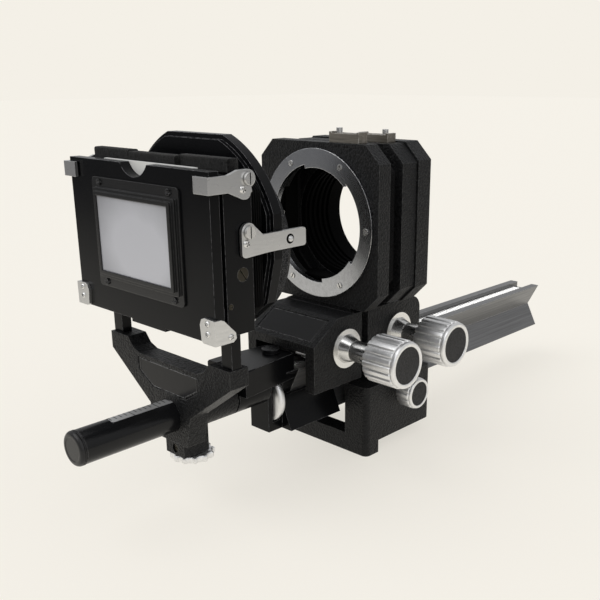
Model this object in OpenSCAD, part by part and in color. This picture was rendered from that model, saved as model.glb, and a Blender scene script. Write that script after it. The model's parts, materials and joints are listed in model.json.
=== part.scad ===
// Slide duplicator: a slide copier stage on a short bellows unit, all in millimetres.
// +Z is up, +Y runs back along the optical axis, and the knobs stand out on +X.
// The origin is the mouth of the tripod socket, level with the table.

/* [Overall] */
// Y of the front face of the lens mount ring
mount_y = -38; // [-40:0.5:-36]

/* [Rail] */
// Height of the underside of the rail above the table
rail_clear = 20; // [19:0.1:26]
// Length of the rail
rail_len = 189; // [175:1:260]
// Y of the front end of the rail
rail_front = -57; // [-58:0.5:-56]
// Width over the two dovetails
rail_w = 17.6; // [16:0.1:19]
// Width of the waist between the dovetails
waist_w = 6; // [5:0.1:8]
// Height of the rail section
rail_h = 22.8; // [20:0.1:24]
// Width of the groove along the top
groove_w = 9; // [7:0.1:10]
// Depth of the groove
groove_d = 3; // [2:0.1:4]
// Pitch of the rack teeth
rack_pitch = 2; // [1.5:0.1:3]
// Height of the rack teeth
tooth_h = 1.2; // [0.8:0.1:1.6]

/* [Foot] */
// Width of the foot
foot_w = 48.4; // [44:0.1:56]
// Length of the foot along the rail
foot_len = 44; // [38:1:50]
// Distance from the front of the foot to the tripod socket
socket_back = 33; // [30:0.5:34]
// Depth of the bar across the front
bar_t = 8; // [6:0.5:9]
// Height of the bar across the front
bar_h = 8.2; // [6:0.1:10]
// Width of the opening between the front uprights
arch_w = 24; // [22:0.5:28]
// Thickness of the side walls behind the front uprights
foot_wall = 4.2; // [3:0.1:6]
// Height of the lower edge of the side walls
skirt_h = 5.6; // [3:0.1:7]
// Diameter of the tripod boss
boss_d = 22; // [18:0.5:24]
// Diameter of the tripod thread, 1/4 inch
tripod_d = 6.35; // [6:0.01:7]
// Depth of the tripod thread
tripod_depth = 10; // [7:0.5:12]

/* [Standards] */
// Margin of the lens panel and of the rear frame round their rings
panel_margin = 2.4; // [1:0.1:5]
// Chamfer at the corners of both
panel_cut = 7; // [5:0.1:9]
// Thickness of the lens panel
panel_t = 6.6; // [5:0.1:7.5]
// Depth of the rear frame
frame_d = 17; // [14:0.5:20]
// Gap that the folded main bellows fills
fold_gap = 8.2; // [7:0.1:12]
// Width of the bases on the rail
base_w = 38.6; // [36:0.1:42]
// Length of the front base
front_base_len = 28; // [26:0.5:29]
// Length of the rear base
rear_base_len = 35; // [31:0.5:38]
// Gap between the two bases
base_gap = 4; // [3:0.1:5]
// Height of both bases above the top of the rail
base_rise = 20.5; // [19:0.1:21.5]
// Height of the neck between a base and its panel
neck_h = 2.1; // [1:0.1:6]
// How far both bases reach down beside the rail
base_skirt = 8; // [6:0.1:9]
// Thickness of the walls of the front arch
arch_wall = 4.8; // [3.5:0.1:6]

/* [Mounts] */
// Throat of the lens mount
throat_d = 47.8; // [44:0.1:58]
// Width of the face of the lens mount ring
mount_rim = 6.1; // [5:0.1:9]
// How far the three bayonet tabs stand into the throat
tab_reach = 1.5; // [1:0.1:2.5]
// How far the lens mount ring stands proud
mount_proud = 1.2; // [0.8:0.1:2]
// Diameter of the spigot that enters the camera
spigot_d = 47.6; // [44:0.1:56]
// Width of the face of the camera mount ring
camera_rim = 5.2; // [4.5:0.1:6.5]
// Length of that spigot
spigot_len = 4; // [3:0.1:6]
// Thickness of the wall of that spigot, with its lining
spigot_wall = 2.3; // [1.8:0.1:3.5]

/* [Knobs] */
// Diameter of the two focusing knobs
knob_d = 19.4; // [17:0.1:21]
// Length of the two focusing knobs
knob_len = 15.6; // [12:0.1:18]
// Distance from the centre to the outer face of a focusing knob
knob_out = 51.3; // [50:0.1:58]
// Diameter of the pinion shafts
shaft_d = 5; // [4:0.1:6]
// Height of the pinion shafts above the top of the rail
shaft_rise = 7.2; // [7:0.1:8]
// Flutes round a focusing knob
knob_flutes = 18; // [12:1:24]
// Diameter of the small clamp knob on the foot
clamp_d = 13.6; // [12:0.1:15]
// Length of the small clamp knob on the foot
clamp_len = 8; // [6:0.1:9]
// Diameter of the thumbwheel that holds the copier
wheel_d = 20; // [18:0.1:21]
// Thickness of the thumbwheel
wheel_t = 3.2; // [2.5:0.1:4]
// Diameter of the clamp knob under the yoke
yoke_knob_d = 16.8; // [15:0.1:20]
// Height of the clamp knob under the yoke
yoke_knob_h = 3; // [2.4:0.1:5]

/* [Copier arm] */
// Diameter of the rod
rod_d = 12.2; // [11:0.1:13]
// Distance from the rod's end cap to the block
rod_out = 66.2; // [64:0.1:80]
// Height of the rod's centre below the top of the rail
rod_drop = 5; // [4:0.1:6]
// Width of the clamp block at its front end
block_w = 22.4; // [20:0.1:24]
// Length of the clamp block
block_len = 28.2; // [26:0.1:30]
// How far the lower jaws of the block run under the rail
jaw_len = 22.5; // [16:0.5:24]
// Thickness of the lower jaws
jaw_t = 1.8; // [1.5:0.1:2.2]
// How far the arms of the yoke stand in from the sides of the stage
yoke_in = 3.9; // [2:0.1:6]
// Thickness of the yoke plate
yoke_t = 8; // [7:0.1:10]
// Length of the sleeve on the rod
sleeve_len = 26; // [20:0.5:26.5]
// Width of each post
post_w = 5.2; // [4:0.1:6]
// Depth of each post
post_t = 4; // [3:0.1:5]
// Distance from the side of the yoke to the outer face of a post
post_inset = 0.4; // [0.2:0.1:1]

/* [Copier stage] */
// Width of the stage
stage_w = 77.2; // [74:0.2:84]
// Height of the front plate
plate_h = 53.2; // [50:0.2:60]
// Thickness of the front plate
plate_t = 3.7; // [3:0.1:4.5]
// Gap for the slide and the film behind the front plate
slot_t = 1.4; // [1.2:0.1:2]
// Side of the square slide mount that stands in the gap
slide_w = 50; // [49:0.1:51]
// Depth of the stage body
body_t = 11.1; // [10:0.1:13]
// Height of the middle of the window above the optical axis
window_up = 5.5; // [4.5:0.1:7]
// Width of the opal window
window_w = 40; // [37:0.1:42]
// Height of the opal window
window_h = 26; // [25:0.1:28]
// Y of the front face of the front plate
stage_y = -122; // [-123:0.5:-121]
// Gap that the folded copier bellows fills
copier_fold = 7.6; // [6:0.1:9]
// Width and height of the hood plate
hood_w = 77.2; // [74:0.2:80]
// Thickness of the hood plate
hood_t = 5.4; // [4:0.1:7]
// Diameter of the knurled ring
ring_d = 60; // [56:0.1:64]
// Length of the knurled ring
ring_len = 12.8; // [10:0.1:14]
// Clear diameter through the knurled ring
ring_clear_d = 46; // [42:0.1:50]
// Thickness of the sheet metal of latches and arms
sheet_t = 1.2; // [0.8:0.1:1.6]
// Length of the retaining arms behind their pivots
arm_len = 24.8; // [22:0.1:27]

/* [Hidden] */
$fn = 64;

// One overrun for every cut, the running gap of slides and shafts, and the gap of loose pieces
over = 1;
run = 0.08;
loose = 0.3;

// Widths and heights that follow from the sizes above
mount_d = throat_d + 2 * mount_rim;
tab_d = throat_d - 2 * tab_reach;
camera_d = spigot_d + 2 * camera_rim;
clear_d = spigot_d - 2 * spigot_wall;
panel_w = max(mount_d, camera_d) + 2 * panel_margin;
rail_bottom = rail_clear;
rail_top = rail_bottom + rail_h;
base_top = rail_top + base_rise;
axis_h = base_top + neck_h + panel_w / 2;
yoke_w = stage_w - 2 * yoke_in;
post_span = yoke_w - 2 * post_inset;

// Rail section
waist_z = rail_top - rail_h / 2;
rail_end = rail_front + rail_len;
rack_top = rail_top - groove_d + tooth_h;

// Foot
foot_front = -socket_back;
foot_back = foot_front + foot_len;
foot_top = waist_z - loose;
jaw_drop = 2.4;
foot_round = 2.5;
web_step = 0.4;
web_z = bar_h - web_step;
web_h = 8;
web_len = 12;
web_lip = foot_back - web_len;
bush_wall = 1.6;
clamp_z = (rail_bottom + waist_z) / 2;
clamp_y = (foot_front + foot_back) / 2;
clamp_stem_d = 5;
clamp_gap = 2.8;
clamp_out = foot_w / 2 + clamp_gap + clamp_len;
insert_t = 0.8;
insert_share = 0.76;
rim_share = 0.9;
knob_lip = 1.6;

// Pinion shafts and knobs
shaft_z = rail_top + shaft_rise;
front_shaft_ahead = 2.8;
front_shaft_y = mount_y - front_shaft_ahead;
pinion_r = shaft_rise + groove_d - tooth_h - loose;
pinion_teeth = 16;
pinion_tooth_h = 1;
pinion_w = 6;
pinion_room = 0.5;
collar_d = 16.3;
collar_t = 1;
rear_knob_in = 1.3;
rear_knob_out = knob_out - rear_knob_in;
hub_d = 8.6;
hub_len = 4.4;
flute_share = 0.13;
stem_d = 8.6;

// Standards along the optical axis
panel_front = mount_y + mount_proud;
panel_back = panel_front + panel_t;
frame_front = panel_back + fold_gap;
frame_back = frame_front + frame_d;
base_tuck = 0.8;
front_base_back = panel_back - base_tuck;
front_base_front = front_base_back - front_base_len;
rear_base_front = front_base_back + base_gap;
rear_base_back = rear_base_front + rear_base_len;
rear_shaft_share = 0.56;
rear_shaft_y = rear_base_front + rear_base_len * rear_shaft_share;
base_bottom = rail_top - base_skirt;
panel_bottom = axis_h - panel_w / 2;
neck_w = 30;
neck_cut = 5;
neck_in = 1;
slope_y = 13.5;
slope_z = 9;
arch_depth = 11.5;
arch_gap = 8;
name_w_share = 0.84;
name_start_share = 0.12;
name_long_share = 0.76;
recess = 0.5;
base_round = 6;
rim_t = 2;
rim_step = 1.2;
seam_share = 0.54;
seam_w = 0.5;
seam_d = 0.6;
seam_y = frame_front + frame_d * seam_share;

// Bores and ring screws
mount_ledge = 4;
panel_bore = mount_d - 2 * mount_ledge;
screw_ring_d = (mount_d + throat_d) / 2;
mount_screws = 6;
screw_d = 2.4;
screw_head_t = 0.3;
screw_len = 3;
slot_w = 0.45;
slot_d = 0.4;
mount_ring_t = 2.6;
tab_count = 3;
tab_turns = [75, 190, 302];
tab_arcs = [58, 50, 46];
tab_angle = 46;
camera_tab_reach = 1.5;
camera_tab_turn = 20;
camera_screws = 4;
camera_screw_turn = 45;
tab_t = 1.4;
camera_ring_t = 2;
spigot_end = frame_back + camera_ring_t / 2 + spigot_len;
bellows_wall = 0.45;
bellows_in = 6;
bellows_w = panel_w - 2 * bellows_in;
pleat_d = 3;
main_pleats = 4;
baffle_wall = 1.6;
baffle_len = frame_d - camera_ring_t;
baffle_ridges = 5;
ridge_d = 1.1;
liner_t = 0.6;

// Couplers on top of the standards
coupler_t = 1.1;
coupler_h = 4.2;
rear_coupler_h = 3.7;
coupler_w = 15.2;
coupler_depth = 5;
coupler_x = 6.2;
coupler_pin_d = 2.4;
coupler_pin_h = 1.4;
coupler_pin_in = 3.2;
coupler_in = 0.6;
rear_coupler_in = 3;
front_coupler_y = panel_front + coupler_in;
rear_coupler_y = frame_front + rear_coupler_in;

// Copier arm
rod_z = rail_top - rod_drop;
block_back = rail_front;
key_len = 2;
block_rear = block_back - key_len;
block_front = block_rear - block_len;
block_up = 7;
block_down = 3.4;
block_top = rail_top + block_up;
block_floor = rail_top - block_down;
block_ease = 0.8;
block_taper = 3.2;
rod_tuck = 9;
wheel_gap = 0.3;
wheel_back = 11.6;
wheel_y = block_back - wheel_back;
lug_w = 10.6;
lug_wall = 2.4;
lug_rear_wall = 2.8;
lug_drop = 3;
lug_front = wheel_y - lug_wall;
lug_back = wheel_y + wheel_t + lug_rear_wall;
lug_bottom = waist_z - wheel_d / 2 - lug_drop;
wheel_room = 0.6;
wheel_stem_d = 5;
wheel_reach = 10;
wheel_knurls = 40;
knurl_share = 0.04;
cap_len = 2.4;
rod_front = block_front - rod_out + cap_len;
cap_over = 0.1;
scale_w = 4.4;
scale_t = 0.4;
scale_len = 25;
tick_pitch = 5;
tick_w = 0.35;
tick_d = 0.12;
boss_top_d = 7;
boss_top_h = 1.6;

// Yoke
yoke_set = 8;
yoke_front = stage_y + yoke_set;
yoke_back = yoke_front + yoke_t;
yoke_below = 35;
yoke_top = axis_h - yoke_below;
yoke_boss_w = 11;
yoke_boss_h = 6.5;
yoke_dip = 5;
yoke_low_up = 2;
yoke_low = rod_z + yoke_low_up;
yoke_waist_w = 24;
yoke_toe = 3;
yoke_run = 7;
sleeve_front = yoke_front;
sleeve_back = sleeve_front + sleeve_len;
sleeve_wall = 1.4;
stub_w = 10.8;
stub_len = 11.4;
stub_back = 1.2;
stub_drop = 10;
yoke_knob_share = 0.68;
yoke_knob_y = yoke_front + stub_back + stub_len * yoke_knob_share;
stub_screw_d = 3.4;
stub_screw_up = 2.6;
stub_screw_t = 1.2;
stub_bottom = rod_z - rod_d / 2 - stub_drop;
yoke_stem_d = 5;
yoke_knob_flutes = 20;
name_h = 10;
name_share = [[-1.8, 0.5], [1.8, 0.5], [1.8, 0], [1, -0.5], [-1, -0.5], [-1.8, 0]];
yoke_rib = 1.4;
post_set = 9.5;
post_front = stage_y + post_set;
post_reach = 12;
post_room = 10;
post_seat = 3;

// Stage
plate_back = stage_y + plate_t;
body_front = plate_back + slot_t;
body_back = body_front + body_t;
plate_up = 30.2;
plate_top = axis_h + plate_up;
plate_bottom = plate_top - plate_h;
body_top_in = 1.9;
body_bottom_in = 1.4;
body_top = plate_top - body_top_in;
body_bottom = plate_bottom + body_bottom_in;
window_z = axis_h + window_up;
notch_d = 17.4;
notch_h = 4.4;
lip_w = 19.3;
lip_h = 1.1;
slot_x = 2.4;
side_block = 7;
side_in = 1.5;
frame_t = 2.4;
flange_t = 0.7;
flange_side = 4.3;
flange_end = 6;
box_wall = 1.4;
flange_w = window_w + 2 * flange_side;
flange_h = window_h + 2 * flange_end;
box_w = window_w + 2 * box_wall;
box_h = window_h + 2 * box_wall;
frame_round = 1.6;
opal_sink = 0.4;
gate_w = 36.4;
gate_h = 24.4;
gate_step = 8;
frame_screw_x = 19.6;
frame_screw_z = 17.3;
frame_screw_d = 2.2;
slide_ease = 0.2;
slide_up = 30.4;
slide_t = slot_t - slide_ease;
slide_top = axis_h + slide_up;
slide_mid = plate_back + run + slide_t / 2;
slide_window_w = 34.6;
slide_window_h = 23.2;
film_t = 0.3;
film_tuck = 1.2;
pad_t = 2.6;
pad_deep = 6.4;
pad_lift = 2;
pad_split = 9;
pad_step = 2;

// Sheet metal on the stage
latch_in = 2.2;
latch_below = 1;
latch_y = body_back - latch_in;
latch_z = body_top - latch_below;
latch_h = 5.2;
latch_down = 1.1;
latch_lobe_d = 5.6;
latch_tail_d = 4.4;
latch_tail = 4;
latch_lip = 5.8;
latch_gap = 0.45;
pivot_d = 4;
pivot_shank_d = 1.8;
pivot_head_t = 1;
pivot_len = 3;
bracket_leg = 6.2;
bracket_h = 8.4;
bracket_side = 7.4;
bracket_front_share = [[0, 0], [0.8, 0], [0.93, 0.08], [1, 0.7], [0.9, 0.93], [0.7, 1], [0, 0.97]];
bracket_side_share = [[0, 0], [0.85, 0], [1, 0.12], [0.97, 0.35], [0.45, 0.9], [0.3, 0.97], [0, 0.97]];
rivet_d = 1.7;
arm_pivot_in = 2.6;
arm_pivot_up = 10.9;
arm_pivot_y = body_back - arm_pivot_in;
arm_pivot_z = axis_h + arm_pivot_up;
arm_lobe_d = 5.8;
arm_plate_h = 7.9;
arm_toe_d = 3;
arm_toe_y = 1.4;
arm_w = 6;
arm_top = 1.4;
arm_round = 1;
arm_gap = 0.35;
ball_d = 2.2;
ball_back = 17.6;
rivet_drop = 3.5;
flush_d = 4.4;
flush_in = 4.3;
flush_down = 2.4;
flush_y = body_back - flush_in;
flush_z = axis_h - flush_down;
stop_d = 1.8;
stop_in = 0.4;
stop_down = 11.9;
stop_y = body_front - stop_in + stop_d;
stop_z = axis_h - stop_down;
flush_len = 3;

// Hood
hood_front = body_back + copier_fold;
hood_back = hood_front + hood_t;
hood_round_share = 0.5363;
hood_low = 33;
hood_bevel = 1.6;
ring_back = hood_back + ring_len;
ring_knurls = 60;
hood_spigot_d = 50;
hood_spigot_len = 9;
copier_bellows_in = 4;
copier_bellows_w = stage_w - 2 * copier_bellows_in;
copier_bellows_h = 46;
copier_pleats = 4;
copier_pleat_d = 2.6;

// A box from its lowest and highest coordinate on each axis
module span(x, y, z) {
    translate([x[0], y[0], z[0]])
        cube([x[1] - x[0], y[1] - y[0], z[1] - z[0]]);
}

// An outline in X and Z, run along Y
module along_y(y0, y1) {
    translate([0, y1, 0])
        rotate([90, 0, 0])
            linear_extrude(y1 - y0)
                children();
}

// An outline in Y and Z, run along X
module along_x(x0, x1) {
    translate([x0, 0, 0])
        rotate([90, 0, 90])
            linear_extrude(x1 - x0)
                children();
}

// A round bar along Y, and one along X
module bar_y(d, y0, y1) {
    along_y(y0, y1)
        circle(d = d);
}

module bar_x(d, x0, x1) {
    along_x(x0, x1)
        circle(d = d);
}

// A rectangle with its corners cut, about its own middle
module cut_rect(w, h, c) {
    polygon([[c - w / 2, -h / 2], [w / 2 - c, -h / 2], [w / 2, c - h / 2], [w / 2, h / 2 - c],
        [w / 2 - c, h / 2], [c - w / 2, h / 2], [-w / 2, h / 2 - c], [-w / 2, c - h / 2]]);
}

// A rectangle with round corners, made of true arcs
module round_rect(w, h, r) {
    square([w - 2 * r, h], center = true);
    square([w, h - 2 * r], center = true);
    for (sx = [-1, 1], sz = [-1, 1])
        translate([sx * (w / 2 - r), sz * (h / 2 - r)])
            circle(r);
}

// The rail section about its waist, grown by g on its slopes
module rail_outline(g = 0) {
    polygon([[-rail_w / 2 - g, -rail_h / 2 - g], [rail_w / 2 + g, -rail_h / 2 - g],
        [waist_w / 2 + g, 0], [rail_w / 2 + g, rail_h / 2 + g], [-rail_w / 2 - g, rail_h / 2 + g],
        [-waist_w / 2 - g, 0]]);
}

// A fluted disc outline with n flutes
module fluted(d, n, share) {
    difference() {
        circle(d = d);
        for (i = [0 : n - 1])
            rotate(i * 360 / n)
                translate([d / 2, 0])
                    circle(d = d * share, $fn = 16);
    }
}

// A cheese-head screw along +Z with its slot, its seat at the origin
module slotted_screw(d, head, shank_d, shank) {
    difference() {
        union() {
            cylinder(d = d, h = head);
            translate([0, 0, -shank])
                cylinder(d = shank_d, h = shank + head / 2);
        }
        translate([-d, -slot_w / 2, head - slot_d])
            cube([2 * d, slot_w, slot_d + over]);
    }
}

// The corners of one ring of a pleated tube at height y
function fold_ring(w, h, c, y) = [for (p = [[c - w / 2, -h / 2], [w / 2 - c, -h / 2], [w / 2, c - h / 2],
    [w / 2, h / 2 - c], [w / 2 - c, h / 2], [c - w / 2, h / 2], [-w / 2, h / 2 - c], [-w / 2, c - h / 2]])
    [p[0], y, p[1]]];

// A pleated tube along Y, open at both ends, from y = 0 to y = length
module pleated_tube(w, h, length, pleats, depth, corner, wall) {
    folds = 2 * pleats;
    outer = [for (i = [0 : folds]) fold_ring(w - (i % 2) * 2 * depth, h - (i % 2) * 2 * depth,
        corner, i * length / folds)];
    inner = [for (i = [0 : folds]) fold_ring(w - (i % 2) * 2 * depth - 2 * wall,
        h - (i % 2) * 2 * depth - 2 * wall, corner, i * length / folds)];
    rows = len(outer);
    count = len(outer[0]);
    points = [for (r = concat(outer, inner)) for (p = r) p];
    sides = [for (i = [0 : rows - 2]) for (j = [0 : count - 1]) let (k = (j + 1) % count)
        [i * count + j, (i + 1) * count + j, (i + 1) * count + k, i * count + k]];
    linings = [for (i = [rows : 2 * rows - 2]) for (j = [0 : count - 1]) let (k = (j + 1) % count)
        [i * count + j, i * count + k, (i + 1) * count + k, (i + 1) * count + j]];
    front = [for (j = [0 : count - 1]) let (k = (j + 1) % count)
        [j, k, rows * count + k, rows * count + j]];
    back = [for (j = [0 : count - 1]) let (k = (j + 1) % count, a = (rows - 1) * count,
        b = (2 * rows - 1) * count) [a + k, a + j, b + j, b + k]];
    polyhedron(points, concat(sides, linings, front, back));
}

// The foot: a cast frame with female dovetail jaws on top and a tripod boss below
module foot_casting() color([0.12, 0.12, 0.12]) difference() {
    intersection() {
        union() {
            for (s = [-1, 1]) {
                foot_upright(s);
                foot_jaw(s);
            }
            span([-foot_w / 2, foot_w / 2], [foot_front, foot_front + bar_t], [0, bar_h]);
            span([-foot_w / 2, foot_w / 2], [web_lip, foot_back], [web_z, web_z + web_h]);
            cylinder(d = boss_d, h = web_z + web_h);
        }
        translate([0, clamp_y, 0])
            linear_extrude(foot_top)
                round_rect(foot_w, foot_len, foot_round);
    }
    translate([0, 0, -over])
        cylinder(d = tripod_d + 2 * bush_wall, h = tripod_depth + over);
    translate([0, clamp_y, clamp_z])
        bar_x(clamp_stem_d + 2 * run, 0, foot_w);
}

// One side of the foot: the deep front upright and the wall behind it
module foot_upright(s) {
    inner = min(arch_w / 2, foot_w / 2 - foot_wall);
    span(s > 0 ? [inner, foot_w / 2] : [-foot_w / 2, -inner], [foot_front, foot_front + bar_t],
        [0, foot_top]);
    span(s > 0 ? [foot_w / 2 - foot_wall, foot_w / 2] : [-foot_w / 2, foot_wall - foot_w / 2],
        [foot_front, foot_back], [skirt_h, foot_top]);
}

// One dovetail jaw that grips the lower half of the rail
module foot_jaw(s) {
    difference() {
        span(s > 0 ? [waist_w / 2 + run, foot_w / 2 - foot_wall]
            : [foot_wall - foot_w / 2, -waist_w / 2 - run],
            [foot_front + bar_t, foot_back], [rail_bottom - jaw_drop, foot_top]);
        translate([0, 0, waist_z])
            along_y(foot_front, foot_back + over)
                rail_outline(run);
        span([-rail_w / 2 - run, rail_w / 2 + run], [foot_front, foot_back + over],
            [rail_bottom - jaw_drop - over, rail_bottom]);
    }
}

// Threaded brass bush pressed into the boss
module tripod_bush() color([0.72, 0.6, 0.3]) difference() {
    cylinder(d = tripod_d + 2 * bush_wall, h = tripod_depth);
    translate([0, 0, -over])
        cylinder(d = tripod_d, h = tripod_depth + 2 * over);
}

// A turned knob on +X: fluted grip, plain lip and a seat for its insert
module turned_knob(d, length, flutes, lip, out) {
    difference() {
        union() {
            along_x(out - length, out - lip)
                fluted(d, flutes, flute_share);
            bar_x(d * rim_share, out - lip, out);
        }
        bar_x(d * insert_share + 2 * run, out - insert_t, out + over);
    }
}

module foot_clamp_knob() color([0.78, 0.78, 0.78]) translate([0, clamp_y, clamp_z]) {
    turned_knob(clamp_d, clamp_len, knob_flutes - 4, knob_lip / 2, clamp_out);
    bar_x(clamp_stem_d, foot_w / 2 - foot_wall * 2, clamp_out - clamp_len);
}

module foot_clamp_insert() color([0.08, 0.08, 0.08]) translate([0, clamp_y, clamp_z])
    bar_x(clamp_d * insert_share, clamp_out - insert_t, clamp_out - loose);

// The rail: two dovetails back to back with a groove for the rack
module rail() color([0.6, 0.6, 0.6]) difference() {
    translate([0, 0, waist_z])
        along_y(rail_front, rail_end)
            rail_outline();
    span([-groove_w / 2, groove_w / 2], [rail_front - over, rail_end + over],
        [rail_top - groove_d, rail_top + over]);
    translate([0, 0, waist_z])
        bar_y(wheel_stem_d, rail_front - over, rail_front + wheel_reach);
}

// The rack lies on the floor of the groove
module rail_rack() color([0.68, 0.68, 0.67])
    along_x(-groove_w / 2 + loose, groove_w / 2 - loose)
        rack_outline();

module rack_outline() {
    floor_z = rail_top - groove_d;
    start = rail_front + rack_pitch;
    count = floor((rail_len - 3 * rack_pitch) / rack_pitch);
    root = rack_top - tooth_h;
    polygon(concat([[start, floor_z], [start, root + tooth_h / 2]],
        [for (i = [0 : count - 1]) for (p = [[0.1, 0.5], [0.35, 1], [0.65, 1], [0.9, 0.5]])
            [start + (i + p[0]) * rack_pitch, root + p[1] * tooth_h]],
        [[start + count * rack_pitch, root + tooth_h / 2], [start + count * rack_pitch, floor_z]]));
}

// The clamp block: head on the rod, key against the rail's end and jaws under the rail
module copier_block() color([0.13, 0.13, 0.13]) difference() {
    union() {
        intersection() {
            along_y(block_front, block_rear)
                block_section();
            block_plan();
        }
        span([-lug_w / 2, lug_w / 2], [lug_front, lug_back], [lug_bottom, block_floor]);
        bar_at_rod(rod_d + 2 * sleeve_wall, block_front, lug_front);
        translate([0, 0, waist_z])
            along_y(lug_back - over, block_back)
                rail_outline();
        block_jaws();
    }
    bar_at_rod(rod_d, block_front - over, block_front + rod_tuck);
    translate([0, 0, waist_z]) {
        bar_y(wheel_d + 2 * wheel_room, wheel_y - wheel_gap, wheel_y + wheel_t + wheel_gap);
        bar_y(wheel_stem_d + 2 * run, wheel_y, block_back + over);
    }
}

// Section of the block's head, with its upper edges eased
module block_section() {
    polygon([[-block_w / 2, block_floor], [block_w / 2, block_floor],
        [block_w / 2, block_top - block_ease], [block_w / 2 - block_ease, block_top],
        [block_ease - block_w / 2, block_top], [-block_w / 2, block_top - block_ease]]);
}

// Plan of the block's head, which narrows towards the rail
module block_plan() {
    translate([0, 0, block_floor - over])
        linear_extrude(block_top - block_floor + 2 * over)
            polygon([[-block_w / 2, block_front], [block_w / 2, block_front],
                [block_w / 2 - block_taper, block_rear], [block_taper - block_w / 2, block_rear]]);
}

module bar_at_rod(d, y0, y1) {
    translate([0, 0, rod_z])
        bar_y(d, y0, y1);
}

// Thin jaws round the lower dovetail of the rail
module block_jaws() {
    difference() {
        translate([0, 0, waist_z])
            along_y(lug_back - over, block_back + jaw_len)
                intersection() {
                    rail_outline(jaw_t);
                    translate([-rail_w, -rail_h])
                        square([2 * rail_w, rail_h]);
                }
        translate([0, 0, waist_z])
            along_y(block_back, block_back + jaw_len + over)
                rail_outline(run);
    }
}

// Round boss on top of the block
module block_boss() color([0.1, 0.1, 0.1])
    translate([0, block_rear - boss_top_d * 0.75, block_top])
        difference() {
            cylinder(d = boss_top_d, h = boss_top_h);
            translate([-boss_top_d, -slot_w, boss_top_h - slot_d])
                cube([2 * boss_top_d, 2 * slot_w, slot_d + over]);
        }

// Thumbwheel with its screw, which pulls the block onto the rail
module clamp_thumbwheel() color([0.82, 0.82, 0.82]) translate([0, 0, waist_z]) {
    along_y(wheel_y, wheel_y + wheel_t)
        fluted(wheel_d, wheel_knurls, knurl_share);
    bar_y(wheel_stem_d - 2 * run, wheel_y + wheel_t / 2, block_back + wheel_reach - over);
}

module copier_rod() color([0.1, 0.1, 0.1]) difference() {
    bar_at_rod(rod_d, rod_front, block_front + rod_tuck);
    span([-scale_w / 2, scale_w / 2], [sleeve_front - scale_len, sleeve_back],
        [rod_z + rod_d / 2 - 2 * scale_t, rod_z + rod_d]);
}

module rod_end_cap() color([0.07, 0.07, 0.07])
    bar_at_rod(rod_d + 2 * cap_over, rod_front - cap_len, rod_front);

// The scale lies in a flat on top of the rod, with plain ticks
module rod_scale() color([0.55, 0.55, 0.54]) difference() {
    span([-scale_w / 2, scale_w / 2], [sleeve_front - scale_len, sleeve_back],
        [rod_z + rod_d / 2 - 2 * scale_t, rod_z + rod_d / 2 - scale_t]);
    for (i = [1 : floor(scale_len / tick_pitch)])
        span([-scale_w / 2 - over, i % 2 == 0 ? scale_w / 2 + over : 0],
            [sleeve_front - i * tick_pitch, sleeve_front - i * tick_pitch + tick_w],
            [rod_z + rod_d / 2 - scale_t - tick_d, rod_z + rod_d]);
}

// The yoke: a Y-shaped casting with a sleeve, a clamp stub and two post bosses
module yoke_casting() color([0.12, 0.12, 0.12]) difference() {
    union() {
        along_y(yoke_front, yoke_back)
            yoke_outline();
        bar_at_rod(rod_d + 2 * sleeve_wall, sleeve_front, sleeve_back);
        span([-stub_w / 2, stub_w / 2], [yoke_front + stub_back, yoke_front + stub_back + stub_len],
            [stub_bottom, rod_z]);
        along_x(-yoke_rib, yoke_rib)
            polygon([[yoke_front + yoke_rib, rod_z], [sleeve_back, rod_z], [sleeve_back, rod_z + rod_d * 0.7],
                [yoke_back, yoke_top - yoke_dip]]);
    }
    bar_at_rod(rod_d + 2 * run, sleeve_front - over, sleeve_back + over);
    along_y(yoke_front - over, yoke_front + recess)
        translate([0, yoke_top - yoke_dip - name_h / 2 - yoke_rib])
            name_outline();
    for (s = [-1, 1])
        post_hole(s);
    translate([0, yoke_knob_y, stub_bottom - over])
        cylinder(d = yoke_stem_d + 2 * run, h = stub_drop + over + rod_d / 2);
    translate([0, 0, stub_bottom + stub_screw_up]) {
        bar_y(stub_screw_d, yoke_front, yoke_front + stub_back + stub_screw_t);
        bar_y(stub_screw_d / 2, yoke_front, yoke_front + stub_back + 2 * stub_screw_t);
    }
}

// Bare name plate: a wide panel whose lower corners are cut
module name_outline() {
    polygon([for (p = name_share) [p[0] * name_h, p[1] * name_h]]);
}

// Outline of the yoke plate, drawn on one side and mirrored
module yoke_outline() {
    side = [[0, yoke_low - rod_d], [yoke_waist_w / 2 - yoke_toe, yoke_low - rod_d],
        [yoke_waist_w / 2, yoke_low], [yoke_w / 2, yoke_top - yoke_boss_h], [yoke_w / 2, yoke_top],
        [yoke_w / 2 - yoke_boss_w, yoke_top],
        [yoke_w / 2 - yoke_boss_w - yoke_toe, yoke_top - yoke_dip * 0.7],
        [yoke_w / 2 - yoke_boss_w - yoke_run, yoke_top - yoke_dip], [0, yoke_top - yoke_dip]];
    for (s = [0, 1])
        mirror([s, 0])
            polygon(side);
}

module post_hole(s) {
    span(s > 0 ? [post_span / 2 - post_w, post_span / 2] : [-post_span / 2, post_w - post_span / 2],
        [post_front, post_front + post_t], [yoke_top - post_seat, yoke_top + over]);
}

module post(s) {
    span(s > 0 ? [post_span / 2 - post_w, post_span / 2] : [-post_span / 2, post_w - post_span / 2],
        [post_front, post_front + post_t], [yoke_top - post_seat, body_bottom + post_reach]);
}

// Slotted screw in the front of the clamp stub
module stub_screw() color([0.55, 0.53, 0.45])
    translate([0, yoke_front + stub_back + stub_screw_t, stub_bottom + stub_screw_up])
        rotate([90, 0, 0])
            slotted_screw(stub_screw_d - 2 * run, stub_screw_t / 2, stub_screw_d / 2, stub_screw_t / 3);

module post_left() color([0.14, 0.14, 0.14])
    post(-1);

module post_right() color([0.14, 0.14, 0.14])
    post(1);

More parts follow.
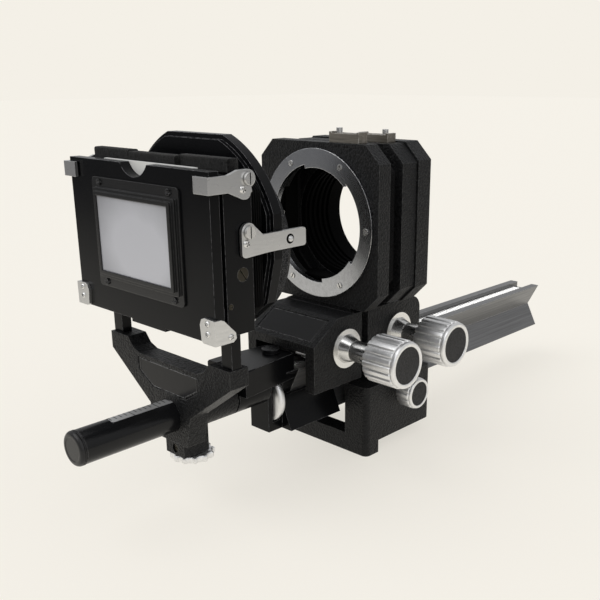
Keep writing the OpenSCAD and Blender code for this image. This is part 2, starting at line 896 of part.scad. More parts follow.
// Fluted clamp knob whose screw runs up the stub to the rod
module yoke_clamp_knob() color([0.78, 0.78, 0.78]) translate([0, yoke_knob_y, 0]) {
    translate([0, 0, stub_bottom - loose - yoke_knob_h])
        linear_extrude(yoke_knob_h)
            fluted(yoke_knob_d, yoke_knob_flutes, flute_share);
    translate([0, 0, stub_bottom - loose - yoke_knob_h / 2])
        cylinder(d = yoke_stem_d, h = yoke_knob_h / 2 + stub_drop);
}

// The stage body: a deep frame with slots for the posts
module stage_body() color([0.1, 0.1, 0.1]) difference() {
    union() {
        span([-stage_w / 2, stage_w / 2], [body_front, body_back], [body_bottom, body_top]);
        for (s = [0, 1])
            mirror([s, 0, 0])
                span([stage_w / 2 - side_block, stage_w / 2 - side_in], [plate_back, body_front],
                    [body_bottom, slide_top - slide_w + side_block]);
        span([slot_x - lip_w / 2, slot_x + lip_w / 2], [plate_back, body_front],
            [body_bottom, slide_top - slide_w]);
    }
    translate([0, 0, window_z])
        along_y(body_front - over, body_back + over)
            square([gate_w, gate_h], center = true);
    translate([0, 0, window_z])
        along_y(body_front + body_t / 2, body_back + over)
            square([gate_w + gate_step, gate_h + gate_step], center = true);
    for (s = [-1, 1])
        span(s > 0 ? [post_span / 2 - post_w - run, post_span / 2 + run]
            : [-post_span / 2 - run, post_w - post_span / 2 + run],
            [post_front - run, post_front + post_t + run],
            [body_bottom - over, body_bottom + post_reach + post_room]);
    side_screw_holes();
}

// Blind holes for the screws in both sides of the stage
module side_screw_holes() {
    for (s = [0, 1])
        mirror([s, 0, 0]) {
            for (p = [[arm_pivot_y, arm_pivot_z], [latch_y, latch_z]])
                translate([0, p[0], p[1]])
                    bar_x(pivot_shank_d, stage_w / 2 - pivot_len, stage_w / 2 + over);
            translate([0, flush_y, flush_z])
                bar_x(flush_d + 2 * run, stage_w / 2 - flush_len, stage_w / 2 + over);
            translate([0, stop_y, stop_z])
                bar_x(stop_d + 2 * run, stage_w / 2 - flush_len, stage_w / 2 + over);
        }
}

// Flush slotted screws and small stop screws in the sides of the stage
module side_screws() color([0.45, 0.43, 0.36])
    for (s = [0, 1])
        mirror([s, 0, 0]) {
            translate([stage_w / 2 - slot_d, flush_y, flush_z])
                rotate([0, 90, 0])
                    rotate(35)
                        slotted_screw(flush_d, slot_d, flush_d, flush_len - 2 * slot_d);
            translate([stage_w / 2 - slot_d, stop_y, stop_z])
                rotate([0, 90, 0])
                    rotate(70)
                        slotted_screw(stop_d, 1.5 * slot_d, stop_d, flush_len - 2 * slot_d);
        }

// The front plate with its window and the finger notch on top
module front_plate() color([0.11, 0.11, 0.11]) difference() {
    union() {
        span([-stage_w / 2, stage_w / 2], [stage_y, plate_back], [plate_bottom, plate_top]);
        span([slot_x - lip_w / 2, slot_x + lip_w / 2], [stage_y, plate_back],
            [plate_bottom - lip_h, plate_bottom]);
    }
    translate([0, 0, window_z])
        along_y(stage_y - over, plate_back + over)
            square([gate_w, gate_h], center = true);
    translate([0, 0, plate_top + notch_d / 2 - notch_h])
        bar_y(notch_d, stage_y - over, plate_back + over);
    frame_screw_places()
        cylinder(d = frame_screw_d / 2, h = plate_t, center = true);
}

// The four places of the frame's screws, on the front plate
module frame_screw_places() {
    for (sx = [-1, 1], sz = [-1, 1])
        translate([sx * frame_screw_x, stage_y, window_z + sz * frame_screw_z])
            rotate([90, 0, 0])
                children();
}

// Stepped moulding round the window
module diffuser_frame() color([0.13, 0.13, 0.13]) difference() {
    translate([0, 0, window_z]) {
        along_y(stage_y - flange_t, stage_y)
            round_rect(flange_w, flange_h, frame_round);
        along_y(stage_y - (frame_t + flange_t) / 2, stage_y)
            round_rect((flange_w + box_w) / 2, (box_h * 3 + flange_h) / 4, frame_round / 2);
        along_y(stage_y - frame_t, stage_y)
            round_rect(box_w, box_h, frame_round / 2);
    }
    translate([0, 0, window_z])
        along_y(stage_y - frame_t - over, stage_y + over)
            square([window_w, window_h], center = true);
    frame_screw_places()
        cylinder(d = frame_screw_d / 2, h = 2 * frame_t, center = true);
}

// Opal sheet set in the frame
module opal_diffuser() color([0.92, 0.92, 0.9]) translate([0, 0, window_z])
    along_y(stage_y - frame_t + opal_sink, stage_y)
        square([window_w, window_h], center = true);

module frame_screws() color([0.3, 0.3, 0.3])
    frame_screw_places()
        translate([0, 0, flange_t])
            slotted_screw(frame_screw_d, 2 * screw_head_t, frame_screw_d / 2, plate_t / 2 + flange_t);

// A square slide mount that stands in the gap, with its window
module slide_mount() color([0.9, 0.9, 0.88]) difference() {
    span([slot_x - slide_w / 2, slot_x + slide_w / 2], [plate_back + run, plate_back + run + slide_t],
        [slide_top - slide_w, slide_top]);
    slide_hole(plate_back - over, body_front + over, 0);
    slide_hole(slide_mid - film_t / 2, slide_mid + film_t / 2, film_tuck);
}

module slide_hole(y0, y1, tuck) {
    translate([slot_x, 0, slide_top - slide_w / 2])
        along_y(y0, y1)
            square([slide_window_w + 2 * tuck, slide_window_h + 2 * tuck], center = true);
}

// The piece of film in the slide mount
module slide_film() color([0.35, 0.28, 0.22])
    slide_hole(slide_mid - film_t / 2, slide_mid + film_t / 2, film_tuck);

// Felt pad on top of the stage, in two overlapping strips
module felt_pad() color([0.09, 0.09, 0.09]) {
    span([-stage_w / 2, pad_split], [body_back - pad_deep, body_back - pad_step],
        [body_top, body_top + pad_lift + pad_t]);
    span([pad_split, stage_w / 2 - 2 * pad_t], [body_back - pad_deep + pad_step, body_back],
        [body_top, body_top + pad_lift + pad_t]);
}

// A spring latch on one side: a leg round the corner and a lobe on its pivot
module top_latch(s) {
    x_in = stage_w / 2 + arm_gap;
    lip_y = stage_y - latch_gap;
    mirror([s > 0 ? 0 : 1, 0, 0])
        difference() {
            union() {
                along_x(x_in, x_in + sheet_t) {
                    translate([latch_y, latch_z])
                        circle(d = latch_lobe_d);
                    translate([latch_y - latch_tail / 3, latch_z - latch_tail])
                        circle(d = latch_tail_d);
                    polygon([[lip_y - sheet_t, latch_z + latch_h / 2 - latch_down],
                        [latch_y - 2 * latch_tail, latch_z + latch_h / 2 - latch_down],
                        [latch_y - latch_tail, latch_z + latch_lobe_d / 2],
                        [latch_y, latch_z + latch_lobe_d / 2],
                        [latch_y + latch_tail_d / 3, latch_z - latch_tail],
                        [latch_y - latch_tail_d / 2, latch_z - latch_tail - latch_tail_d / 2],
                        [latch_y - 2 * latch_tail, latch_z - latch_h / 2 - latch_down],
                        [lip_y - sheet_t, latch_z - latch_h / 2 - latch_down]]);
                }
                span([x_in - latch_lip, x_in + sheet_t], [lip_y - sheet_t, lip_y],
                    [latch_z - latch_h / 2 - latch_down, latch_z + latch_h / 2 - latch_down]);
            }
            translate([0, latch_y, latch_z])
                bar_x(pivot_shank_d + 2 * run, x_in - over, x_in + sheet_t + over);
        }
}

module top_latch_left() color([0.78, 0.78, 0.77])
    top_latch(-1);

module top_latch_right() color([0.78, 0.78, 0.77])
    top_latch(1);

// Pivot screws, seated in the sides of the stage
module side_pivots(y, z) {
    for (s = [0, 1])
        mirror([s, 0, 0])
            translate([stage_w / 2 + arm_gap + sheet_t + run, y, z])
                rotate([0, 90, 0])
                    slotted_screw(pivot_d, pivot_head_t, pivot_shank_d, pivot_len + arm_gap + sheet_t);
}

module latch_pivots() color([0.8, 0.8, 0.78])
    side_pivots(latch_y, latch_z);

module arm_pivots() color([0.8, 0.8, 0.78])
    side_pivots(arm_pivot_y, arm_pivot_z);

// Folded corner brackets at the foot of the front plate
module corner_brackets() color([0.78, 0.78, 0.77])
    for (s = [0, 1])
        mirror([s, 0, 0]) {
            along_y(stage_y - sheet_t, stage_y)
                polygon([for (p = bracket_front_share) [stage_w / 2 + sheet_t - p[0] * (bracket_leg + sheet_t),
                    plate_bottom + p[1] * bracket_h]]);
            along_x(stage_w / 2, stage_w / 2 + sheet_t)
                polygon([for (p = bracket_side_share) [stage_y - sheet_t + p[0] * (bracket_side + sheet_t),
                    plate_bottom + p[1] * bracket_h]]);
        }

module bracket_screws() color([0.7, 0.7, 0.68])
    for (s = [0, 1])
        mirror([s, 0, 0]) {
            for (k = [0.4, 0.8])
                translate([stage_w / 2 - bracket_leg * 0.4, stage_y - sheet_t, plate_bottom + bracket_h * k])
                    rotate([90, 0, 0])
                        cylinder(d = rivet_d, h = screw_head_t);
            translate([stage_w / 2 + sheet_t, stage_y + bracket_side * 0.7, plate_bottom + bracket_h * 0.22])
                rotate([0, 90, 0])
                    cylinder(d = rivet_d, h = screw_head_t);
        }

// A retaining arm on one side: a plate on its pivot and a long finger with a detent ball
module retaining_arm(s) {
    x_in = stage_w / 2 + arm_gap;
    toe_z = -arm_plate_h + arm_toe_d / 2;
    mirror([s > 0 ? 0 : 1, 0, 0])
        translate([0, arm_pivot_y, arm_pivot_z])
            difference() {
                union() {
                    along_x(x_in, x_in + sheet_t) {
                        circle(d = arm_lobe_d);
                        translate([-arm_toe_y, toe_z])
                            circle(d = arm_toe_d);
                        translate([arm_len - 2 * arm_round, -arm_top - arm_w / 2])
                            round_rect(4 * arm_round, arm_w, arm_round);
                        polygon([[-arm_lobe_d / 2, 0], [arm_lobe_d / 4, arm_lobe_d * 0.43],
                            [arm_lobe_d, -arm_top], [arm_len - 2 * arm_round, -arm_top],
                            [arm_len - 2 * arm_round, -arm_top - arm_w],
                            [arm_lobe_d * 1.4, -arm_top - arm_w], [-arm_toe_y, -arm_plate_h],
                            [-arm_lobe_d / 2, toe_z]]);
                    }
                    translate([x_in + sheet_t, ball_back, -arm_top - arm_w / 2])
                        sphere(d = ball_d, $fn = 24);
                    translate([0, -ball_d / 2, -rivet_drop])
                        bar_x(rivet_d, x_in + sheet_t / 2, x_in + sheet_t + screw_head_t);
                }
                bar_x(pivot_shank_d + 2 * run, x_in - over, x_in + sheet_t + over);
            }
}

module retaining_arm_left() color([0.78, 0.78, 0.77])
    retaining_arm(-1);

module retaining_arm_right() color([0.78, 0.78, 0.77])
    retaining_arm(1);

// Folded bellows between the stage and the hood plate
module copier_bellows() color([0.05, 0.05, 0.05])
    translate([0, body_back, (body_top + body_bottom) / 2])
        pleated_tube(copier_bellows_w, copier_bellows_h, copier_fold, copier_pleats, copier_pleat_d,
            copier_pleat_d * 1.4, bellows_wall);

// The hood plate: round upper corners, wide chamfers below, a bevelled front edge
module hood_plate() color([0.1, 0.1, 0.1]) translate([0, 0, axis_h]) difference() {
    union() {
        along_y(hood_front + hood_bevel, hood_back)
            hood_outline(0);
        along_y(hood_front, hood_front + hood_bevel)
            hood_outline(hood_bevel);
        bar_y(hood_spigot_d, hood_back, hood_back + hood_spigot_len);
    }
    bar_y(ring_clear_d, hood_front - over, hood_back + hood_spigot_len + over);
}

module hood_outline(inset) {
    w = hood_w / 2 - inset;
    intersection() {
        circle(hood_w * hood_round_share - inset, $fn = 96);
        polygon([[-w, w], [w, w], [w, 0], [w * 0.9, -hood_low * 0.46], [w * 0.32, inset - hood_low],
            [-w * 0.32, inset - hood_low], [-w * 0.9, -hood_low * 0.46], [-w, 0]]);
    }
}

// The knurled ring screws onto the front of a lens
module knurled_ring() color([0.1, 0.1, 0.1]) translate([0, 0, axis_h]) difference() {
    along_y(hood_back + loose, ring_back)
        fluted(ring_d, ring_knurls, knurl_share / 2);
    bar_y(hood_spigot_d + 2 * run, hood_back - over, hood_back + hood_spigot_len + run);
    bar_y(ring_clear_d, hood_back, ring_back + over);
}

// A standard's base: a block with a female dovetail for the upper half of the rail
module base_block(front, back, shaft_y) {
    difference() {
        children();
        translate([0, 0, waist_z])
            along_y(front - over, back + over)
                intersection() {
                    rail_outline(run);
                    translate([-rail_w, 0])
                        square([2 * rail_w, rail_h]);
                }
        translate([0, shaft_y, shaft_z])
            bar_x(2 * (pinion_r + pinion_tooth_h + pinion_room), -pinion_w / 2 - pinion_room,
                pinion_w / 2 + pinion_room);
        translate([0, shaft_y, shaft_z])
            bar_x(shaft_d + 2 * run, 0, base_w);
    }
}

module front_base() color([0.12, 0.12, 0.12])
    difference() {
        base_block(front_base_front, front_base_back, front_shaft_y) {
            union() {
                along_x(-base_w / 2, base_w / 2)
                    polygon([[front_base_front, base_bottom], [front_base_front, base_top - slope_z],
                        [front_base_front + slope_y, base_top], [front_base_back, base_top],
                        [front_base_back, base_bottom]]);
                along_y(panel_front + neck_in, front_base_back)
                    translate([0, base_top])
                        polygon([[-neck_w / 2 - neck_cut, 0], [neck_w / 2 + neck_cut, 0],
                            [neck_w / 2, panel_bottom - base_top], [-neck_w / 2, panel_bottom - base_top]]);
            }
        }
        span([arch_wall - base_w / 2, base_w / 2 - arch_wall],
            [front_base_front - over, front_base_front + arch_depth],
            [base_bottom - over, rail_top + arch_gap]);
        name_plate_cut();
    }

// A shallow bare panel on the slope of the front base
module name_plate_cut() {
    tilt = atan2(slope_z, slope_y);
    long = sqrt(slope_z * slope_z + slope_y * slope_y);
    translate([0, front_base_front, base_top - slope_z])
        rotate([tilt, 0, 0])
            translate([-base_w * name_w_share / 2, long * name_start_share, -recess])
                cube([base_w * name_w_share, long * name_long_share, recess + over]);
}

// The lens panel: an octagonal plate with a wide bore
module lens_panel() color([0.12, 0.12, 0.12]) translate([0, 0, axis_h]) difference() {
    along_y(panel_front, panel_back)
        cut_rect(panel_w, panel_w, panel_cut);
    bar_y(panel_bore, panel_front - over, panel_back + over);
    bar_y(mount_d + 2 * run, panel_front - over, panel_front + mount_ring_t - mount_proud);
    mount_screw_places()
        bar_y(screw_d / 2, mount_y, mount_y + screw_len);
}

// The places of the lens mount ring's screws
module mount_screw_places() {
    for (i = [0 : mount_screws - 1])
        rotate([0, -360 / mount_screws * i, 0])
            translate([screw_ring_d / 2, 0, 0])
                children();
}

// The bayonet ring with three tabs
module lens_mount_ring() color([0.8, 0.8, 0.82]) translate([0, 0, axis_h]) difference() {
    union() {
        difference() {
            bar_y(mount_d, mount_y, mount_y + mount_ring_t);
            bar_y(throat_d, mount_y - over, mount_y + mount_ring_t + over);
        }
        for (i = [0 : tab_count - 1])
            mount_tab(tab_turns[i], tab_arcs[i]);
    }
    mount_screw_places()
        bar_y(screw_d / 2 + 2 * run, mount_y - over, mount_y + mount_ring_t + over);
}

// One bayonet tab, a sector between the throat and the tab diameter
module mount_tab(a, arc) {
    rotate([0, -a, 0])
        along_y(mount_y, mount_y + tab_t)
            difference() {
                intersection() {
                    circle(d = throat_d + screw_head_t);
                    polygon([[0, 0], [throat_d, -throat_d * tan(arc / 2)],
                        [throat_d, throat_d * tan(arc / 2)]]);
                }
                circle(d = tab_d);
            }
}

module mount_ring_screws() color([0.75, 0.75, 0.7]) translate([0, 0, axis_h])
    mount_screw_places()
        translate([0, mount_y, 0])
            rotate([90, 0, 0])
                slotted_screw(screw_d, screw_head_t, screw_d / 2, screw_len);

// Turned collar round a pinion shaft, against the side of its base
module collar(y) {
    translate([0, y, shaft_z])
        difference() {
            union() {
                bar_x(collar_d, base_w / 2, base_w / 2 + collar_t);
                translate([base_w / 2 + collar_t, 0, 0])
                    rotate([0, 90, 0])
                        cylinder(d1 = collar_d * 0.72, d2 = hub_d, h = hub_len);
            }
            bar_x(shaft_d + 2 * run, base_w / 2 - over, base_w / 2 + collar_t + hub_len + over);
        }
}

module front_collar() color([0.8, 0.8, 0.8])
    collar(front_shaft_y);

module rear_collar() color([0.8, 0.8, 0.8])
    collar(rear_shaft_y);

// A pinion shaft with its teeth over the rack
module pinion_shaft(y, out) {
    translate([0, y, shaft_z]) {
        bar_x(shaft_d, -pinion_w / 2, out - knob_len);
        bar_x(stem_d, base_w / 2 + collar_t + hub_len + loose, out - knob_len);
        along_x(-pinion_w / 2, pinion_w / 2)
            difference() {
                circle(pinion_r);
                for (i = [0 : pinion_teeth - 1])
                    rotate((i + 0.5) * 360 / pinion_teeth)
                        translate([pinion_r, 0])
                            circle(d = pinion_tooth_h * 1.6, $fn = 16);
            }
    }
}

module front_pinion_shaft() color([0.75, 0.75, 0.74])
    pinion_shaft(front_shaft_y, knob_out);

module rear_pinion_shaft() color([0.75, 0.75, 0.74])
    pinion_shaft(rear_shaft_y, rear_knob_out);

module focus_knob(y, out) {
    translate([0, y, shaft_z])
        turned_knob(knob_d, knob_len, knob_flutes, knob_lip, out);
}

module front_knob() color([0.8, 0.8, 0.8])
    focus_knob(front_shaft_y, knob_out);

module rear_knob() color([0.8, 0.8, 0.8])
    focus_knob(rear_shaft_y, rear_knob_out);

module knob_insert(y, out) {
    translate([0, y, shaft_z])
        bar_x(knob_d * insert_share, out - insert_t, out - loose);
}

module front_knob_insert() color([0.07, 0.07, 0.07])
    knob_insert(front_shaft_y, knob_out);

module rear_knob_insert() color([0.07, 0.07, 0.07])
    knob_insert(rear_shaft_y, rear_knob_out);

// Folded main bellows between the lens panel and the rear frame
module main_bellows() color([0.05, 0.05, 0.05])
    translate([0, panel_back, axis_h])
        pleated_tube(bellows_w + pleat_d, bellows_w + pleat_d, fold_gap, main_pleats, pleat_d / 2,
            panel_cut, bellows_wall);

module rear_base() color([0.12, 0.12, 0.12])
    base_block(rear_base_front, rear_base_back, rear_shaft_y) {
        union() {
            along_x(-base_w / 2, base_w / 2) {
                translate([rear_base_front, base_bottom])
                    square([rear_base_len, base_rise + base_skirt - base_round]);
                translate([rear_base_front, base_bottom])
                    square([rear_base_len - base_round, base_rise + base_skirt]);
                translate([rear_base_back - base_round, base_top - base_round])
                    circle(base_round);
            }
            along_y(frame_front + rim_t, seam_y - seam_w)
                translate([0, base_top])
                    polygon([[-neck_w / 2 - neck_cut, 0], [neck_w / 2 + neck_cut, 0],
                        [neck_w / 2, panel_bottom + rim_step / 2 - base_top],
                        [-neck_w / 2, panel_bottom + rim_step / 2 - base_top]]);
        }
    }

// The rear frame: two plates with a fine seam between them
module rear_frame() color([0.12, 0.12, 0.12]) translate([0, 0, axis_h]) difference() {
    union() {
        along_y(frame_front, seam_y - seam_w)
            cut_rect(panel_w - rim_step, panel_w - rim_step, panel_cut);
        along_y(seam_y - seam_w, seam_y)
            cut_rect(panel_w - rim_step - 2 * seam_d, panel_w - rim_step - 2 * seam_d, panel_cut);
        along_y(seam_y, frame_back)
            cut_rect(panel_w, panel_w, panel_cut);
    }
    bar_y(clear_d + 2 * baffle_wall + 2 * ridge_d, frame_front - over, frame_back + over);
    bar_y(camera_d + 2 * run, frame_back - camera_ring_t / 2, frame_back + over);
    camera_screw_places()
        bar_y(screw_d / 2, frame_back + camera_ring_t / 2 - screw_len, frame_back);
}

// The places of the camera mount ring's screws
module camera_screw_places() {
    for (i = [0 : camera_screws - 1])
        rotate([0, -360 / camera_screws * i - camera_screw_turn, 0])
            translate([(camera_d + spigot_d) / 4, 0, 0])
                children();
}

// Ridged tube that keeps stray light off the film
module baffle_tube() color([0.04, 0.04, 0.04]) translate([0, 0, axis_h]) difference() {
    union() {
        bar_y(clear_d + 2 * baffle_wall + 2 * ridge_d - 2 * run, frame_front, frame_front + baffle_len);
        bar_y(clear_d + 2 * liner_t - 2 * run, frame_front, spigot_end);
    }
    bar_y(clear_d, frame_front - over, spigot_end + over);
    for (i = [0 : baffle_ridges - 1])
        bar_y(clear_d + 2 * ridge_d, frame_front + (i + 0.25) * baffle_len / baffle_ridges,
            frame_front + (i + 0.8) * baffle_len / baffle_ridges);
}

// Male bayonet ring for the camera
module camera_mount_ring() color([0.8, 0.8, 0.82]) translate([0, 0, axis_h]) difference() {
    union() {
        bar_y(camera_d, frame_back - camera_ring_t / 2, frame_back + camera_ring_t / 2);
        bar_y(spigot_d, frame_back, frame_back + camera_ring_t / 2 + spigot_len);
        for (i = [0 : tab_count - 1])
            camera_tab(i * 360 / tab_count + camera_tab_turn);
    }
    bar_y(clear_d + 2 * liner_t, frame_back - camera_ring_t, spigot_end + over);
    camera_screw_places()
        bar_y(screw_d / 2 + 2 * run, frame_back - camera_ring_t, frame_back + camera_ring_t);
}

// One outer tab on the camera spigot
module camera_tab(a) {
    rotate([0, -a, 0])
        along_y(spigot_end - tab_t, spigot_end)
            intersection() {
                circle(d = spigot_d + 2 * camera_tab_reach);
                polygon([[0, 0], [throat_d, -throat_d * tan(tab_angle / 2)],
                    [throat_d, throat_d * tan(tab_angle / 2)]]);
            }
}

module camera_ring_screws() color([0.75, 0.75, 0.7]) translate([0, 0, axis_h])
    camera_screw_places()
        translate([0, frame_back + camera_ring_t / 2, 0])
            rotate([-90, 0, 0])
                slotted_screw(screw_d, screw_head_t, screw_d / 2, screw_len);

// A coupler on a standard: a folded bracket with a rounded end
module coupler(y, h) {
    z0 = axis_h + panel_w / 2;
    span([coupler_x, coupler_x + coupler_w], [y, y + coupler_depth], [z0, z0 + coupler_t]);
    for (k = [0, coupler_depth - coupler_t])
        span([coupler_x, coupler_x + coupler_w], [y + k, y + k + coupler_t], [z0, z0 + h - coupler_t / 2]);
    for (x = [coupler_x, coupler_x + coupler_w - coupler_t])
        span([x, x + coupler_t], [y, y + coupler_depth], [z0, z0 + h]);
}

module coupler_front() color([0.7, 0.68, 0.62])
    coupler(front_coupler_y, coupler_h);

module coupler_rear() color([0.7, 0.68, 0.62])
    translate([0, 0, -rim_step / 2])
        coupler(rear_coupler_y, rear_coupler_h);

module coupler_pin(x, y, h) {
    translate([x, y + coupler_depth / 2, axis_h + panel_w / 2 + coupler_t])
        cylinder(d = coupler_pin_d, h = h + coupler_pin_h - coupler_t);
}

module coupler_pin_front() color([0.8, 0.8, 0.8])
    coupler_pin(coupler_x + coupler_pin_in, front_coupler_y, coupler_h);

module coupler_pin_rear() color([0.8, 0.8, 0.8])
    translate([0, 0, -rim_step / 2])
        coupler_pin(coupler_x + coupler_w - coupler_pin_in, rear_coupler_y, rear_coupler_h);

foot_casting();
tripod_bush();
foot_clamp_knob();
foot_clamp_insert();
rail();
rail_rack();
copier_block();
block_boss();
clamp_thumbwheel();
copier_rod();
rod_end_cap();
rod_scale();
yoke_casting();
yoke_clamp_knob();
stub_screw();
post_left();
post_right();
stage_body();
front_plate();
diffuser_frame();
opal_diffuser();
frame_screws();
slide_mount();
slide_film();
felt_pad();
side_screws();
top_latch_left();
top_latch_right();
latch_pivots();
corner_brackets();
bracket_screws();
retaining_arm_left();
retaining_arm_right();
arm_pivots();
copier_bellows();
hood_plate();
knurled_ring();
front_base();
lens_panel();
lens_mount_ring();
mount_ring_screws();
front_collar();
front_pinion_shaft();
front_knob();
front_knob_insert();
main_bellows();
rear_base();
rear_frame();
baffle_tube();
camera_mount_ring();
camera_ring_screws();
rear_collar();
rear_pinion_shaft();
rear_knob();
rear_knob_insert();
coupler_front();
coupler_rear();
coupler_pin_front();
coupler_pin_rear();
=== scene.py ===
"""Looks of the slide duplicator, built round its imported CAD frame.

Every class is one sub-assembly. It holds its sizes in millimetres, builds its own meshes with numpy
and dresses the CAD nodes that belong to it.
"""

import json
import logging
import math
from collections.abc import Callable, Sequence
from dataclasses import dataclass
from enum import Enum

import bmesh
import bpy
import numpy as np
from mathutils import Matrix, Vector

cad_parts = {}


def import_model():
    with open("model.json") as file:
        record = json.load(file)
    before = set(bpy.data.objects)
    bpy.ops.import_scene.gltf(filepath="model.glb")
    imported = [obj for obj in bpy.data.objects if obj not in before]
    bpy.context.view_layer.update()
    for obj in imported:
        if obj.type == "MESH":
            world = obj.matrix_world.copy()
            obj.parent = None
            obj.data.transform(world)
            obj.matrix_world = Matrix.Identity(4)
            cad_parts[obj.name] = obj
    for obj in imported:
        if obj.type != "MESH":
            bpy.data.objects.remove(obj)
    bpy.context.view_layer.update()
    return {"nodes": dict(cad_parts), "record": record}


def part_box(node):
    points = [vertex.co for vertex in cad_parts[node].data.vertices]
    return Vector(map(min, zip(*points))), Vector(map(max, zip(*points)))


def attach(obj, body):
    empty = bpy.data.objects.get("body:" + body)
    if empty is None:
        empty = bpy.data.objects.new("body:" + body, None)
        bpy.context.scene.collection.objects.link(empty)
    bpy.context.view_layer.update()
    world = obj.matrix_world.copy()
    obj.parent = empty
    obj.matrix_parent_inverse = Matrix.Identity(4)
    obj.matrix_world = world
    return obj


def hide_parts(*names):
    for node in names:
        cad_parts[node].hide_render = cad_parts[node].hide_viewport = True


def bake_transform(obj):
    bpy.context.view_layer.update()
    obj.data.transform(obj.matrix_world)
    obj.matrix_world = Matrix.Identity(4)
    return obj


LOG = logging.getLogger("slide_duplicator")
MM = 0.001
AXIS_Z = 97.8
Array = np.ndarray
Shape = tuple[Array, Array]
Node = bpy.types.Node
Socket = bpy.types.NodeSocket
Tree = bpy.types.NodeTree


class Axis(Enum):
    """Axis that a turned piece is turned about."""

    X = (1, 2, 0)
    Y = (2, 0, 1)
    Z = (0, 1, 2)


class Grain(Enum):
    """Small-scale relief that a finish shows."""

    WRINKLE = "wrinkle"
    FINE = "fine"
    STREAK = "streak"
    CLOTH = "cloth"
    FELT = "felt"
    # Painted light and shade on the opal sheet, not relief.
    PAINTED_GLOW = "glow"
    TICKS = "ticks"


class Graph:
    """Adds nodes to a shader tree and joins their sockets."""

    def __init__(self, tree: Tree) -> None:
        """Keeps the tree that nodes are added to."""
        self.tree = tree

    def add(self, kind: str, settings: dict | None = None, **inputs: object) -> Node:
        """Adds one node.

        Args:
            kind: Blender's type name of the node, less ShaderNode.
            settings: attributes of the node itself, such as a Math node's operation.
            inputs: a value or an output socket for each input, by its name with _ for a space,
                or by i and its place where names repeat.

        Returns:
            The new node.
        """
        node = self.tree.nodes.new("ShaderNode" + kind)
        for key, value in (settings or {}).items():
            setattr(node, key, value)
        for key, value in inputs.items():
            name = key.replace("_", " ")
            socket = node.inputs[int(key[1:])] if key[0] == "i" and key[1:].isdigit() else node.inputs[name]
            if isinstance(value, Socket):
                self.tree.links.new(value, socket)
            else:
                socket.default_value = value
        return node

    def math(self, operation: str, first: object, second: object = 0.0) -> Socket:
        """Returns the result socket of a Math node."""
        return self.add("Math", {"operation": operation}, i0=first, i1=second).outputs[0]

    def ramp(self, value: object, low: float, high: float, to_low: float = 0.0, to_high: float = 1.0
             ) -> Socket:
        """Returns value taken from low..high to to_low..to_high, held at both ends."""
        return self.add("MapRange", Value=value, From_Min=low, From_Max=high, To_Min=to_low,
                        To_Max=to_high).outputs["Result"]

    def mix(self, share: object, first: object, second: object) -> Socket:
        """Returns two colours mixed by a share."""
        return self.add("Mix", {"data_type": "RGBA"}, i0=share, i6=first, i7=second).outputs[2]

    def vector(self, operation: str, *terms: object, **named: object) -> Node:
        """Returns a Vector Math node that takes the terms in turn."""
        inputs = {f"i{index}": term for index, term in enumerate(terms)}
        return self.add("VectorMath", {"operation": operation}, **inputs, **named)

    def noise(self, coords: object, scale: object, detail: float, **more: float) -> Node:
        """Returns a Noise Texture node."""
        return self.add("TexNoise", Vector=coords, Scale=scale, Detail=detail, **more)

    def send(self, out: Node, **values: Socket) -> Tree:
        """Joins sockets to the group's outputs.

        Args:
            out: the group's output node.
            values: the socket for each output, by its name.

        Returns:
            The group's tree.
        """
        for key, value in values.items():
            self.tree.links.new(value, out.inputs[key])
        return self.tree


def cleared(owner: bpy.types.Material | bpy.types.World) -> Graph:
    """Empties the node tree of a material or world.

    Args:
        owner: the material or world.

    Returns:
        The graph of its tree.
    """
    owner.use_nodes = True
    owner.node_tree.nodes.clear()
    return Graph(owner.node_tree)


def linked(name: str, data: bpy.types.ID) -> bpy.types.Object:
    """Makes an object and links it to the scene.

    Args:
        name: name of the object.
        data: its mesh, camera or lamp.

    Returns:
        The object.
    """
    thing = bpy.data.objects.new(name, data)
    bpy.context.scene.collection.objects.link(thing)
    return thing


SOCKETS = {float: "NodeSocketFloat", tuple: "NodeSocketVector"}


def new_group(name: str, inputs: dict[str, float | tuple], outputs: dict[str, str]
              ) -> tuple[Graph, Node, Node]:
    """Starts a shader node group.

    Args:
        name: name of the group.
        inputs: default value of each input, a number or a vector.
        outputs: socket type of each output, Float, Color or Vector.

    Returns:
        The group's graph, its input node and its output node.
    """
    tree = bpy.data.node_groups.new(name, "ShaderNodeTree")
    for key, value in inputs.items():
        socket = tree.interface.new_socket(key, in_out="INPUT", socket_type=SOCKETS[type(value)])
        socket.default_value = value
    for key, kind in outputs.items():
        tree.interface.new_socket(key, in_out="OUTPUT", socket_type="NodeSocket" + kind)
    return Graph(tree), tree.nodes.new("NodeGroupInput"), tree.nodes.new("NodeGroupOutput")


